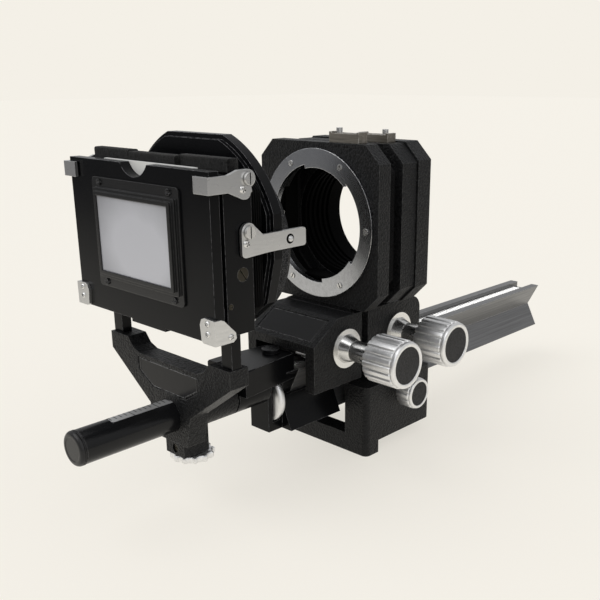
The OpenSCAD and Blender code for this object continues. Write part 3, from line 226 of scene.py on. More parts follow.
class Effects:
    """The shader groups that several finishes share, each built once."""

    def __init__(self) -> None:
        """Builds the groups."""
        self.wear_and_highlight = self._edge_wear_and_highlight()
        self.dust = self._dust()
        self.recess_shade = self._recess_shade()
        self.relief = {Grain.WRINKLE: self._wrinkle(), Grain.FINE: self._fine(),
                       Grain.STREAK: self._streak(), Grain.CLOTH: self._cloth(),
                       Grain.FELT: self._felt(), Grain.PAINTED_GLOW: self._painted_glow(), Grain.TICKS: self._ticks()}

    @staticmethod
    def _place(graph: Graph, stretch: object = (1.0, 1.0, 1.0)) -> Socket:
        """Returns Object coordinates multiplied by a stretch along each axis."""
        coords = graph.add("TexCoord").outputs["Object"]
        return graph.vector("MULTIPLY", coords, stretch).outputs[0]

    def _edge_wear_and_highlight(self) -> Tree:
        """Rounds edges in the normal, and finds rubbed edges where the rounded normal turns away; their
        lighter colour is real wear and a painted edge highlight.

        Returns:
            The finished group.
        """
        graph, given, out = new_group("edge_wear_and_highlight", {"Radius": 0.0004, "Amount": 0.5, "Scale": 300.0},
                                      {"Mask": "Float", "Normal": "Vector"})
        bevel = graph.add("Bevel", {"samples": 6}, Radius=given.outputs["Radius"]).outputs[0]
        flat = graph.add("NewGeometry").outputs["Normal"]
        edge = graph.ramp(graph.vector("DOT_PRODUCT", bevel, flat).outputs["Value"], 0.99, 0.8)
        noise = graph.noise(self._place(graph), given.outputs["Scale"], 5.0)
        rubbed_and_lit = graph.ramp(noise.outputs[0], 0.34, 0.56)
        share = graph.math("MULTIPLY", graph.math("MULTIPLY", edge, rubbed_and_lit), given.outputs["Amount"])
        return graph.send(out, Mask=share, Normal=bevel)

    def _dust(self) -> Tree:
        """Pale dust: patchy noise, stronger on faces that look up.

        Returns:
            The finished group.
        """
        graph, given, out = new_group("dust", {"Amount": 0.1}, {"Mask": "Float"})
        coords = self._place(graph)
        patch = graph.ramp(graph.noise(coords, 38.0, 6.0).outputs[0], 0.45, 0.8)
        specks = graph.add("TexVoronoi", Vector=coords, Scale=420.0)
        speck = graph.ramp(specks.outputs["Distance"], 0.09, 0.03)
        normal = graph.add("NewGeometry").outputs["Normal"]
        up = graph.add("SeparateXYZ", Vector=normal)
        lying = graph.ramp(up.outputs["Z"], -0.2, 1.0, 0.25, 1.0)
        both = graph.math("MAXIMUM", patch, speck)
        share = graph.math("MULTIPLY", graph.math("MULTIPLY", both, lying), given.outputs["Amount"])
        return graph.send(out, Mask=share)

    @staticmethod
    def _recess_shade() -> Tree:
        """Painted shade in slots, flutes and seams: darker where nearby surfaces shut the point in.

        Returns:
            The finished group.
        """
        graph, given, out = new_group("recess_shade", {"Reach": 0.0008, "Amount": 0.8}, {"Mask": "Float"})
        around = graph.add("AmbientOcclusion", {"samples": 6}, Distance=given.outputs["Reach"])
        shut = graph.ramp(around.outputs["AO"], 0.75, 0.3)
        return graph.send(out, Mask=graph.math("MULTIPLY", shut, given.outputs["Amount"]))

    def _relief_group(self, name: str
                      ) -> tuple[Graph, Socket, Node, Socket]:
        """Starts a relief group.

        Args:
            name: name of the group.

        Returns:
            Its graph, scale, output node and stretched coordinates.
        """
        graph, given, out = new_group(name, {"Scale": 500.0, "Stretch": (1.0, 1.0, 1.0)},
                                      {"Height": "Float", "Shade": "Float"})
        return graph, given.outputs["Scale"], out, self._place(graph, given.outputs["Stretch"])

    def _wrinkle(self) -> Tree:
        """Wrinkle enamel: round pebbles that noise has pulled about, with finer grain on top.

        Returns:
            The finished group.
        """
        graph, scale, out, coords = self._relief_group("wrinkle")
        pull = graph.noise(coords, scale, 3.0)
        moved = graph.vector("SCALE", pull.outputs["Color"], Scale=0.0012).outputs[0]
        place = graph.vector("ADD", coords, moved).outputs[0]
        cells = graph.add("TexVoronoi", {"feature": "SMOOTH_F1"}, Vector=place, Scale=scale)
        pebble = graph.ramp(cells.outputs["Distance"], 0.75, 0.1)
        height = graph.math("ADD", pebble, graph.math("MULTIPLY", pull.outputs[0], 0.45))
        return graph.send(out, Height=height, Shade=pebble)

    def _fine(self) -> Tree:
        """Fine even grain of sprayed enamel, moulded plastic or anodising.

        Returns:
            The finished group.
        """
        graph, scale, out, coords = self._relief_group("fine_grain")
        grain = graph.noise(coords, scale, 8.0, Roughness=0.65)
        return graph.send(out, Height=grain.outputs[0], Shade=graph.noise(coords, 45.0, 4.0).outputs[0])

    def _streak(self) -> Tree:
        """Tool marks: noise that the stretch draws out along the cut.

        Returns:
            The finished group.
        """
        graph, scale, out, coords = self._relief_group("tool_marks")
        marks = graph.noise(coords, scale, 4.0, Roughness=0.7).outputs[0]
        return graph.send(out, Height=marks, Shade=graph.ramp(marks, 0.3, 0.7))

    def _cloth(self) -> Tree:
        """Bellows cloth: a close plain weave of crossing ribs.

        Returns:
            The finished group.
        """
        graph, scale, out, coords = self._relief_group("cloth")
        ribs = graph.vector("SINE", graph.vector("SCALE", coords, Scale=scale).outputs[0])
        parts = graph.add("SeparateXYZ", Vector=ribs.outputs[0])
        height = graph.ramp(graph.math("ADD", parts.outputs["X"], parts.outputs["Z"]), -2.0, 2.0)
        return graph.send(out, Height=height, Shade=graph.noise(coords, 60.0, 5.0).outputs[0])

    def _felt(self) -> Tree:
        """Felt: tangled short fibres from two crossed stretched noises.

        Returns:
            The finished group.
        """
        graph, scale, out, _ = self._relief_group("felt")
        strands = [graph.noise(self._place(graph, stretch), scale, 6.0, Distortion=1.5).outputs[0]
                   for stretch in ((1.0, 0.22, 0.5), (0.25, 1.0, 1.0))]
        height = graph.math("MAXIMUM", *strands)
        return graph.send(out, Height=height, Shade=graph.ramp(height, 0.45, 0.75))

    def _painted_glow(self) -> Tree:
        """Opal sheet: painted light, brightest low in its middle, and painted shade towards the frame and
        its upper left corner.

        Returns:
            The finished group.
        """
        graph, _, out, coords = self._relief_group("glow")
        moved = graph.vector("SUBTRACT", coords, (0.003, 0.0, 0.1005)).outputs[0]
        sized = graph.vector("MULTIPLY", moved, (40.0, 0.0, 52.0)).outputs[0]
        reach = graph.vector("LENGTH", sized).outputs["Value"]
        cloud = graph.noise(coords, 55.0, 3.0).outputs[0]
        uneven = graph.math("ADD", reach, graph.ramp(cloud, 0.3, 0.7, -0.08, 0.08))
        return graph.send(out, Height=cloud, Shade=graph.ramp(uneven, 1.3, 0.55))

    def _ticks(self) -> Tree:
        """Ruled strip: a fine line every 2 mm on one side and one right across every 10 mm.

        Returns:
            The finished group.
        """
        graph, _, out, coords = self._relief_group("ticks")
        parts = graph.add("SeparateXYZ", Vector=coords)
        lines = []
        for pitch in (0.002, 0.01):
            turn = graph.math("FRACT", graph.math("MULTIPLY", parts.outputs["Y"], 1.0 / pitch))
            off = graph.math("ABSOLUTE", graph.math("SUBTRACT", turn, 0.5))
            half = 0.00018 / pitch
            lines.append(graph.ramp(off, 0.5 - half * 1.3, 0.5 - half * 0.7))
        short = graph.math("MULTIPLY", lines[0], graph.math("LESS_THAN", parts.outputs["X"], 0.0003))
        both = graph.math("MAXIMUM", short, lines[1])
        return graph.send(out, Height=both, Shade=graph.math("SUBTRACT", 1.0, both))


@dataclass(frozen=True)
class Finish:
    """One surface finish and the values that its material is built from."""

    name: str
    color: tuple[float, float, float]
    rough: float
    metal: float = 0.0
    specular: float = 0.5
    grain: Grain = Grain.FINE
    scale: float = 900.0
    stretch: tuple[float, float, float] = (1.0, 1.0, 1.0)
    depth: float = 0.00004
    shade: float = 0.12
    edge: float = 0.00035
    # The colour of rubbed edges and how much of it shows: real wear, and a painted highlight along the
    # edges.
    worn_and_lit: tuple[float, float, float] = (0.3, 0.3, 0.3)
    wear_and_highlight: float = 0.0
    dust: float = 0.06
    sheen: float = 0.0
    # Amount of painted shade that darkens recesses.
    recess_shade: float = 0.0

    def build(self, effects: Effects) -> bpy.types.Material:
        """Makes the material from the shared effects.

        Args:
            effects: the shader groups.

        Returns:
            The new material.
        """
        material = bpy.data.materials.new(self.name + "_look")
        graph = cleared(material)
        relief = self._group(graph, effects.relief[self.grain], Scale=self.scale, Stretch=self.stretch)
        wear_and_highlight = self._group(graph, effects.wear_and_highlight, Radius=self.edge, Amount=self.wear_and_highlight, Scale=700.0)
        dust = self._group(graph, effects.dust, Amount=self.dust)
        # Tones that the relief's Shade mixes; with the opal's glow they are painted light and shade.
        dark = tuple(c * (1.0 - self.shade) for c in self.color) + (1.0,)
        light = tuple(min(1.0, c * (1.0 + self.shade)) for c in self.color) + (1.0,)
        body = graph.mix(relief.outputs["Shade"], dark, light)
        # Painted shade: recesses darken towards a dark brown where ambient occlusion finds them shut in.
        if self.recess_shade:
            recess_shade_node = self._group(graph, effects.recess_shade, Amount=self.recess_shade)
            body = graph.mix(recess_shade_node.outputs["Mask"], body, (0.02, 0.018, 0.016, 1.0))
        # Rubbed edges take a lighter colour: real wear, and a painted highlight along the edges.
        rubbed_and_lit = graph.mix(wear_and_highlight.outputs["Mask"], body, self.worn_and_lit + (1.0,))
        color = graph.mix(dust.outputs["Mask"], rubbed_and_lit, (0.3, 0.285, 0.26, 1.0))
        rough = graph.ramp(relief.outputs["Shade"], 0.0, 1.0, self.rough * 1.12, self.rough * 0.88)
        bump = graph.add("Bump", Strength=1.0, Distance=self.depth,
                         Height=relief.outputs["Height"], Normal=wear_and_highlight.outputs["Normal"])
        shader = graph.add("BsdfPrincipled", Base_Color=color, Roughness=rough,
                           Metallic=self.metal, Specular_IOR_Level=self.specular,
                           Sheen_Weight=self.sheen, Normal=bump.outputs[0])
        graph.add("OutputMaterial", Surface=shader.outputs[0])
        return material

    @staticmethod
    def _group(graph: Graph, tree: Tree, **inputs: object) -> Node:
        """Places a shader group with its own values."""
        return graph.add("Group", {"node_tree": tree}, **inputs)


LOOKS: dict[str, bpy.types.Material] = {}
FINISHES = (
    Finish("wrinkle_enamel", (0.0078, 0.008, 0.0085), 0.4, grain=Grain.WRINKLE, scale=1350.0, depth=0.00028,
           shade=0.45, edge=0.0004, worn_and_lit=(0.2, 0.2, 0.2), wear_and_highlight=0.6, dust=0.03, specular=0.2),
    Finish("satin_enamel", (0.0028, 0.003, 0.0036), 0.24, shade=0.2, edge=0.0003, worn_and_lit=(0.26, 0.26, 0.27),
           wear_and_highlight=0.75, dust=0.015, depth=0.000006, specular=0.14),
    Finish("black_anodised", (0.0062, 0.0063, 0.007), 0.22, shade=0.2, edge=0.0003, worn_and_lit=(0.35, 0.35, 0.36),
           wear_and_highlight=0.45, dust=0.02, depth=0.000006, specular=0.26),
    Finish("rail_alloy", (0.19, 0.19, 0.192), 0.33, metal=0.75, grain=Grain.STREAK, scale=1300.0,
           stretch=(1.0, 0.012, 1.0), depth=0.000012, shade=0.28, edge=0.0003, worn_and_lit=(0.75, 0.75, 0.75),
           wear_and_highlight=0.8, recess_shade=0.7),
    Finish("knob_alloy", (0.88, 0.88, 0.88), 0.4, metal=1.0, grain=Grain.STREAK, scale=1500.0,
           stretch=(1.0, 0.4, 0.4), depth=0.000003, shade=0.06, edge=0.0002, worn_and_lit=(0.9, 0.9, 0.9),
           wear_and_highlight=0.35, dust=0.03, recess_shade=0.45),
    Finish("coupler_alloy", (0.3, 0.275, 0.235), 0.32, metal=0.85, grain=Grain.STREAK, scale=1100.0,
           stretch=(0.06, 1.0, 1.0), depth=0.00001, shade=0.35, worn_and_lit=(0.8, 0.78, 0.74), wear_and_highlight=1.0,
           recess_shade=0.8),
    Finish("scale_alloy", (0.26, 0.26, 0.26), 0.45, metal=0.5, grain=Grain.TICKS, depth=0.00001,
           shade=0.85),
    Finish("ring_chrome", (0.47, 0.48, 0.5), 0.24, metal=1.0, grain=Grain.STREAK, scale=600.0,
           depth=0.000002, shade=0.06, edge=0.00025, worn_and_lit=(0.95, 0.95, 0.95), wear_and_highlight=0.9, dust=0.02,
           recess_shade=0.8),
    Finish("sheet_steel", (0.63, 0.63, 0.625), 0.3, metal=0.95, grain=Grain.STREAK, scale=1300.0,
           stretch=(1.0, 0.15, 1.0), depth=0.000004, shade=0.05, edge=0.00018, worn_and_lit=(0.95, 0.95, 0.94),
           wear_and_highlight=0.9, dust=0.04, recess_shade=0.85),
    Finish("screw_steel", (0.78, 0.775, 0.76), 0.27, metal=1.0, shade=0.08, depth=0.000004, edge=0.0002,
           worn_and_lit=(0.75, 0.74, 0.72), wear_and_highlight=0.8, recess_shade=0.95),
    Finish("bronzed_steel", (0.04, 0.036, 0.028), 0.34, metal=0.9, shade=0.25, edge=0.00015,
           worn_and_lit=(0.3, 0.27, 0.2), wear_and_highlight=0.7, recess_shade=0.9),
    Finish("brass_bush", (0.62, 0.46, 0.2), 0.32, metal=1.0, grain=Grain.STREAK, shade=0.15,
           worn_and_lit=(0.9, 0.8, 0.5), wear_and_highlight=0.6, recess_shade=0.8),
    Finish("black_insert", (0.017, 0.017, 0.018), 0.5, grain=Grain.WRINKLE, scale=1900.0, depth=0.0001,
           shade=0.35, dust=0.08, specular=0.26),
    Finish("black_bakelite", (0.0115, 0.0116, 0.0121), 0.25, shade=0.15, edge=0.0004,
           worn_and_lit=(0.08, 0.08, 0.08), wear_and_highlight=0.4, dust=0.03, depth=0.000006, specular=0.32),
    # The opal's brightness is painted light, lighter in its middle, with painted shade at its edges.
    Finish("opal_sheet", (0.37, 0.374, 0.4), 0.2, grain=Grain.PAINTED_GLOW, shade=0.35, depth=0.000001, dust=0.012,
           specular=0.4),
    Finish("slide_plastic", (0.72, 0.72, 0.7), 0.4, shade=0.04, edge=0.0002, dust=0.05),
    Finish("film_base", (0.16, 0.07, 0.03), 0.15, shade=0.2),
    Finish("felt_pad", (0.015, 0.0148, 0.0145), 0.95, grain=Grain.FELT, scale=1700.0, depth=0.0004,
           shade=0.6, dust=0.1, sheen=0.12, specular=0.1),
    Finish("bellows_cloth", (0.0045, 0.0045, 0.005), 0.5, grain=Grain.CLOTH, scale=9000.0, depth=0.00002,
           shade=0.3, dust=0.03, sheen=0.02, specular=0.2),
    Finish("matt_black", (0.0025, 0.0025, 0.0026), 0.75, shade=0.2, depth=0.000006, dust=0.01,
           specular=0.03),
    Finish("plate_enamel", (0.004, 0.0041, 0.0047), 0.2, shade=0.15, edge=0.0002, worn_and_lit=(0.45, 0.45, 0.45),
           wear_and_highlight=0.8, depth=0.000004, dust=0.015, specular=0.22),
)


def sweep_faces(points: Array, closed: bool = False) -> Array:
    """Joins a grid of points, whose rows close on themselves, into quads.

    Args:
        points: the grid, by row and by place in the row.
        closed: whether the last row joins the first.

    Returns:
        An array of four vertex numbers for each quad.
    """
    rows, columns = points.shape[:2]
    row, column = np.arange(rows if closed else rows - 1)[:, None], np.arange(columns)[None, :]
    next_row, next_column = (row + 1) % rows, (column + 1) % columns
    corners = [row * columns + column, row * columns + next_column, next_row * columns + next_column,
               next_row * columns + column]
    size = (row.shape[0], columns)
    return np.stack([np.broadcast_to(c, size) for c in corners], axis=-1).reshape(-1, 4)


def merged(shapes: Sequence[Shape]) -> Shape:
    """Joins shapes into one.

    Args:
        shapes: points and faces of each.

    Returns:
        The points and the faces of all of them.
    """
    points, faces, count = [], [], 0
    for places, corners in shapes:
        points.append(places.reshape(-1, 3))
        faces.append(corners + count)
        count += len(points[-1])
    return np.concatenate(points), np.concatenate(faces)


def make_piece(name: str, points: Array, faces: Array, slot: str, crease: float = 32.0) -> bpy.types.Object:
    """Makes an object from points in millimetres.

    Args:
        name: name of the piece.
        points: grid or list of points.
        faces: vertex numbers of each face.
        slot: the record's material slot, and the finish of the piece.
        crease: angle in degrees above which an edge stays sharp.

    Returns:
        The new object, at the origin, with its place in its mesh.
    """
    mesh = bpy.data.meshes.new(name)
    mesh.from_pydata((points.reshape(-1, 3) * MM).tolist(), [], faces.tolist())
    shape = bmesh.new()
    shape.from_mesh(mesh)
    bmesh.ops.remove_doubles(shape, verts=shape.verts, dist=0.000002)
    bmesh.ops.recalc_face_normals(shape, faces=shape.faces)
    shape.to_mesh(mesh)
    shape.free()
    mesh.shade_smooth()
    mesh.set_sharp_from_angle(angle=math.radians(crease))
    piece = linked(name, mesh)
    mesh.materials.append(LOOKS[slot])
    piece["finish"] = slot
    return piece


def lathe(profile: Array, axis: Axis, centre: Sequence[float], around: int,
          ripple: Callable[[Array, Array], Array] | None = None, closed: bool = False) -> Shape:
    """Turns a profile about an axis: point = centre + along·axis + radius·(cos t, sin t).

    Args:
        profile: rows of (place along the axis, radius) in millimetres.
        axis: the axis to turn about.
        centre: a point that the axis goes through.
        around: number of points round a turn.
        ripple: multiplies the radius, given the angle and the place along the axis.
        closed: whether the profile's last row joins its first.

    Returns:
        The points and the faces.
    """
    turn = np.linspace(0.0, 2.0 * np.pi, around, endpoint=False)[None, :]
    along, radius = profile[:, :1], profile[:, 1:]
    reach = radius * (ripple(turn, along) if ripple else 1.0) * np.ones_like(turn)
    first, second, third = axis.value
    points = np.zeros((len(profile), around, 3)) + np.asarray(centre, float)
    points[..., first] += reach * np.cos(turn)
    points[..., second] += reach * np.sin(turn)
    points[..., third] += along * np.ones_like(turn)
    return points, sweep_faces(points, closed)


def smooth_step(low: float, high: float, value: Array) -> Array:
    """Returns 0 below low, 1 above high and a smooth rise between."""
    share = np.clip((value - low) / (high - low), 0.0, 1.0)
    return share * share * (3.0 - 2.0 * share)


def triangle(turn: Array, count: float) -> Array:
    """Returns a wave of the angle that falls from 1 to 0 and rises again, count times a turn."""
    return np.abs((turn * count / (2.0 * np.pi)) % 1.0 - 0.5) * 2.0


def octagon(width: float, height: float, cut: float, share: Array) -> Array:
    """Walks round a rectangle with cut corners, so that share 0..1 goes once round.

    Args:
        width: width along X.
        height: height along Z.
        cut: size of the corner cuts.
        share: place along the outline, as an array.

    Returns:
        X and Z of each place.
    """
    w, h, c = width / 2.0, height / 2.0, cut
    corners = np.array([[w, c - h], [w, h - c], [w - c, h], [c - w, h], [-w, h - c], [-w, c - h],
                        [c - w, -h], [w - c, -h], [w, c - h]])
    sides = np.linspace(0.0, 1.0, len(corners))
    return np.stack([np.interp(share, sides, corners[:, i]) for i in (0, 1)], axis=-1)


def seen_rays(graph: Graph, mirrored: bool) -> Socket:
    """Returns 1 for the rays that see the plain paper, and 0 for the rest.

    Args:
        graph: the graph to build in.
        mirrored: whether glossy rays see it too, as camera and transmission rays always do.

    Returns:
        The socket that carries the share.
    """
    path = graph.add("LightPath")
    direct = graph.math("MAXIMUM", path.outputs["Is Camera Ray"], path.outputs["Is Transmission Ray"])
    return graph.math("MAXIMUM", direct, path.outputs["Is Glossy Ray"]) if mirrored else direct


@dataclass
class Studio:
    """Camera, lamps, world and floor."""

    camera_at: tuple[float, float, float] = (229.94, -273.65, 153.91)
    turn: float = 43.28
    tilt: float = 17.75
    roll: float = 0.19
    lens: float = 49.07
    shift: tuple[float, float] = (-0.05, 0.06667)
    paper: tuple[float, float, float] = (0.905, 0.871, 0.799)
    glow: float = 1.1
    glow_share: float = 0.62
    near: float = 0.29
    far: float = 0.95
    room: tuple[float, float, float] = (0.1, 0.1, 0.107)

    def build(self) -> None:
        """Makes everything that isn't part of the object."""
        bpy.context.scene.view_settings.view_transform = "Standard"
        self._camera()
        self._world()
        self._lamps()
        self._floor()

    def _camera(self) -> None:
        """Places the camera that was solved from the photograph."""
        data = bpy.data.cameras.new("camera")
        data.lens, data.sensor_width = self.lens, 36.0
        data.shift_x, data.shift_y = self.shift
        data.clip_start = 0.01
        camera = linked("camera", data)
        a, e = math.radians(self.turn), math.radians(self.tilt)
        forward = Vector((-math.sin(a) * math.cos(e), math.cos(a) * math.cos(e), -math.sin(e)))
        right = Vector((math.cos(a), math.sin(a), 0.0))
        up = right.cross(forward)
        spin = Matrix.Rotation(math.radians(self.roll), 3, forward)
        right, up = spin @ right, spin @ up
        rows = [[right[i], up[i], -forward[i], self.camera_at[i] * MM] for i in range(3)]
        camera.matrix_world = Matrix(rows + [[0, 0, 0, 1]])
        bpy.context.scene.camera = camera

    def _world(self) -> None:
        """Plain soft light, with the paper's colour where camera and transmission rays look."""
        world = bpy.data.worlds.new("world")
        bpy.context.scene.world = world
        graph = cleared(world)
        seen = seen_rays(graph, mirrored=False)
        plain = graph.add("Background", Color=(0.985, 0.99, 1.0, 1.0), Strength=0.55)
        paper = graph.add("Background", Color=self.paper + (1.0,), Strength=1.0)
        mixed = graph.add("MixShader", i0=seen, i1=plain.outputs[0], i2=paper.outputs[0])
        graph.add("OutputWorld", Surface=mixed.outputs[0])

    @staticmethod
    def _lamps() -> None:
        """A soft key from above and the left, and a weaker one from the right."""
        lamps = (("key", 1.0, -25.0, 38.0, 50.0), ("fill", 0.45, 75.0, 55.0, 70.0))
        for name, strength, turn, tilt, size in lamps:
            data = bpy.data.lights.new(name, "SUN")
            data.energy, data.angle = strength, math.radians(size)
            lamp = linked(name, data)
            lamp.rotation_euler = (math.radians(tilt), 0.0, math.radians(turn))

    def _floor(self) -> None:
        """A wide paper floor that keeps the object's shadow; mirrored, it fades to a dark room."""
        mesh = bpy.data.meshes.new("paper_floor")
        far = 6.0
        corners = [(-far, -far, 0), (far, -far, 0), (far, far, 0), (-far, far, 0)]
        mesh.from_pydata(corners, [], [(0, 1, 2, 3)])
        floor = linked("paper_floor", mesh)
        material = bpy.data.materials.new("paper")
        graph = cleared(material)
        place = graph.add("TexCoord").outputs["Object"]
        reach = graph.vector("LENGTH", place).outputs["Value"]
        away = graph.ramp(reach, self.near, self.far)
        mirrored = graph.math("MULTIPLY", graph.add("LightPath").outputs["Is Glossy Ray"], away)
        color = graph.mix(mirrored, self.paper + (1.0,), self.room + (1.0,))
        plain = graph.add("BsdfPrincipled", Base_Color=color, Roughness=0.9,
                          Specular_IOR_Level=0.0)
        bright = graph.add("Emission", Color=color, Strength=self.glow)
        share = graph.math("MULTIPLY", seen_rays(graph, mirrored=True), self.glow_share)
        mixed = graph.add("MixShader", i0=share, i1=plain.outputs[0], i2=bright.outputs[0])
        graph.add("OutputMaterial", Surface=mixed.outputs[0])
        mesh.materials.append(material)


SLOT_NAMES: set[str] = set()


@dataclass
class SubAssembly:
    """What all sub-assemblies share: the frame's nodes, and how a piece is hung and reported."""

    nodes: dict[str, bpy.types.Object]

    def keep(self, piece: bpy.types.Object, body: str | None, replaces: Sequence[str] = ()) -> None:
        """Hangs a piece on its body, hides the nodes that it stands for and reports it.

        Args:
            piece: the new piece.
            body: the CAD body that it moves with, or None for a piece that spans two bodies and hangs on
                neither.
            replaces: names of the CAD nodes that it stands for.
        """
        if body:
            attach(piece, body)
        if replaces:
            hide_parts(*replaces)
        LOG.info("%s: %d faces", piece.name, len(piece.data.polygons))

    def put(self, name: str, shape: Shape, slot: str, body: str, *replaces: str, crease: float = 32.0
            ) -> None:
        """Makes a piece of points and faces, and keeps it."""
        self.keep(make_piece(name, *shape, slot, crease), body, replaces)


@dataclass
class FocusKnobs(SubAssembly):
    """The two fluted focusing knobs, the small clamp knob, the thumbwheel and the yoke's clamp knob."""

    flutes: int = 20
    depth: float = 0.07
    clamp_flutes: int = 14
    clamp_radius: float = 6.8
    clamp_start: float = 27.0
    clamp_stem: float = 2.5
    knurls: int = 90
    knurl_depth: float = 0.004
    wheel_thick: float = 3.2
    wheel_hub: float = 2.4
    scallops: int = 12
    bite: float = 0.12
    yoke_knob_thick: float = 3.0
    yoke_hub: float = 2.5

    def build(self) -> None:
        """Makes all of them."""
        for name, body in (("front_knob", "front_focus"), ("rear_knob", "rear_focus"),
                           ("foot_clamp_knob", "foot_clamp")):
            self._grip(name, body)
        self._wheel()
        self._yoke_knob()

    def _grip(self, name: str, body: str) -> None:
        """A grip with flutes, radius·(1 − depth·groove(angle)), and then a plain lip.

        Args:
            name: the CAD node that it stands for.
            body: the CAD body that it moves with.
        """
        low, high = (np.array(c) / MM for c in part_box(name))
        radius, y, z = (high[1] - low[1]) / 2.0, (high[1] + low[1]) / 2.0, (high[2] + low[2]) / 2.0
        if name == "foot_clamp_knob":
            radius, start, count = self.clamp_radius, self.clamp_start, self.clamp_flutes
        else:
            start, count = low[0], self.flutes
        end = high[0]
        lip = end - radius * 0.17
        seat = radius * 0.76
        profile = np.array([
            [start, 0.0], [start, radius * 0.88], [start + 0.15, radius * 0.93],
            [start + 0.5, radius * 0.985], [start + 0.9, radius], [(start + lip) / 2.0, radius],
            [lip - 0.7, radius], [lip - 0.35, radius * 0.99], [lip - 0.1, radius * 0.95],
            [lip, radius * 0.91], [lip + 0.25, radius * 0.905], [lip + 0.4, radius * 0.95],
            [end - 0.6, radius * 0.955], [end - 0.25, radius * 0.94], [end - 0.05, radius * 0.91],
            [end, radius * 0.88], [end, radius * 0.8], [end - 0.1, radius * 0.775],
            [end - 0.35, seat], [end - 0.78, seat], [end - 0.78, 0.0]])

        def flute(turn: Array, along: Array) -> Array:
            """Flutes: smooth grooves between flat ridges, which end before the lip."""
            groove = 1.0 - smooth_step(0.1, 0.46, triangle(turn, count))
            return 1.0 - self.depth * groove * (along < lip - 0.05)

        shapes = [lathe(profile, Axis.X, (0.0, y, z), count * 12, flute)]
        if name == "foot_clamp_knob":
            thin, foot, top = self.clamp_stem, low[0], start + 0.2
            stem = np.array([[foot, 0.0], [foot, thin], [top, thin], [top, 0.0]])
            shapes.append(lathe(stem, Axis.X, (0.0, y, z), 40))
        self.put(name + "_turned", merged(shapes), "knob_alloy", body, name)

    def _wheel(self) -> None:
        """The thumbwheel: a thick disc with fine straight knurls round its rim."""
        low, high = (np.array(c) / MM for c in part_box("clamp_thumbwheel"))
        radius, z = (high[2] - low[2]) / 2.0, (high[2] + low[2]) / 2.0
        y0, y1 = low[1], low[1] + self.wheel_thick
        hub = self.wheel_hub
        profile = np.array([[y0, 0.0], [y0, radius - 1.2], [y0 + 0.1, radius - 0.8],
                            [y0 + 0.5, radius - 0.15], [y0 + 0.8, radius], [y1 - 0.8, radius],
                            [y1 - 0.5, radius - 0.15], [y1 - 0.1, radius - 0.8], [y1, radius - 1.2],
                            [y1, hub], [high[1], hub], [high[1], 0.0]])

        def knurl(turn: Array, along: Array) -> Array:
            """Knurls: a fine cosine round the rim only."""
            rim = (along > y0 + 0.3) & (along < y1 - 0.3)
            return 1.0 - self.knurl_depth * (1.0 - np.cos(turn * self.knurls)) * rim

        shape = lathe(profile, Axis.Y, (0.0, 0.0, z), self.knurls * 8, knurl)
        self.put("thumbwheel_turned", shape, "knob_alloy", "thumbwheel", "clamp_thumbwheel")

    def _yoke_knob(self) -> None:
        """The scalloped clamp knob: a disc with wide round scallops and softened edges."""
        low, high = (np.array(c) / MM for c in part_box("yoke_clamp_knob"))
        radius, y = (high[0] - low[0]) / 2.0, (high[1] + low[1]) / 2.0
        z0, z1 = low[2], low[2] + self.yoke_knob_thick
        hub = self.yoke_hub
        profile = np.array([[z0, 0.0], [z0, radius - 2.6], [z0 + 0.2, radius - 2.0],
                            [z0 + 0.2, radius - 0.9], [z0 + 0.5, radius - 0.3], [z0 + 0.9, radius],
                            [z1 - 0.6, radius], [z1 - 0.2, radius - 0.3], [z1, radius - 0.8],
                            [z1, hub], [high[2], hub], [high[2], 0.0]])

        def scallop(turn: Array, along: Array) -> Array:
            """Scallops: round bites out of the rim between narrow teeth."""
            bite = np.sqrt(np.clip(1.0 - (triangle(turn, self.scallops) / 0.8) ** 2, 0.0, 1.0))
            return 1.0 - self.bite * bite * (along < z1 + 0.01) * (along >= z0)

        shape = lathe(profile, Axis.Z, (0.0, y, 0.0), self.scallops * 24, scallop)
        self.put("yoke_knob_turned", shape, "knob_alloy", "yoke_clamp", "yoke_clamp_knob")


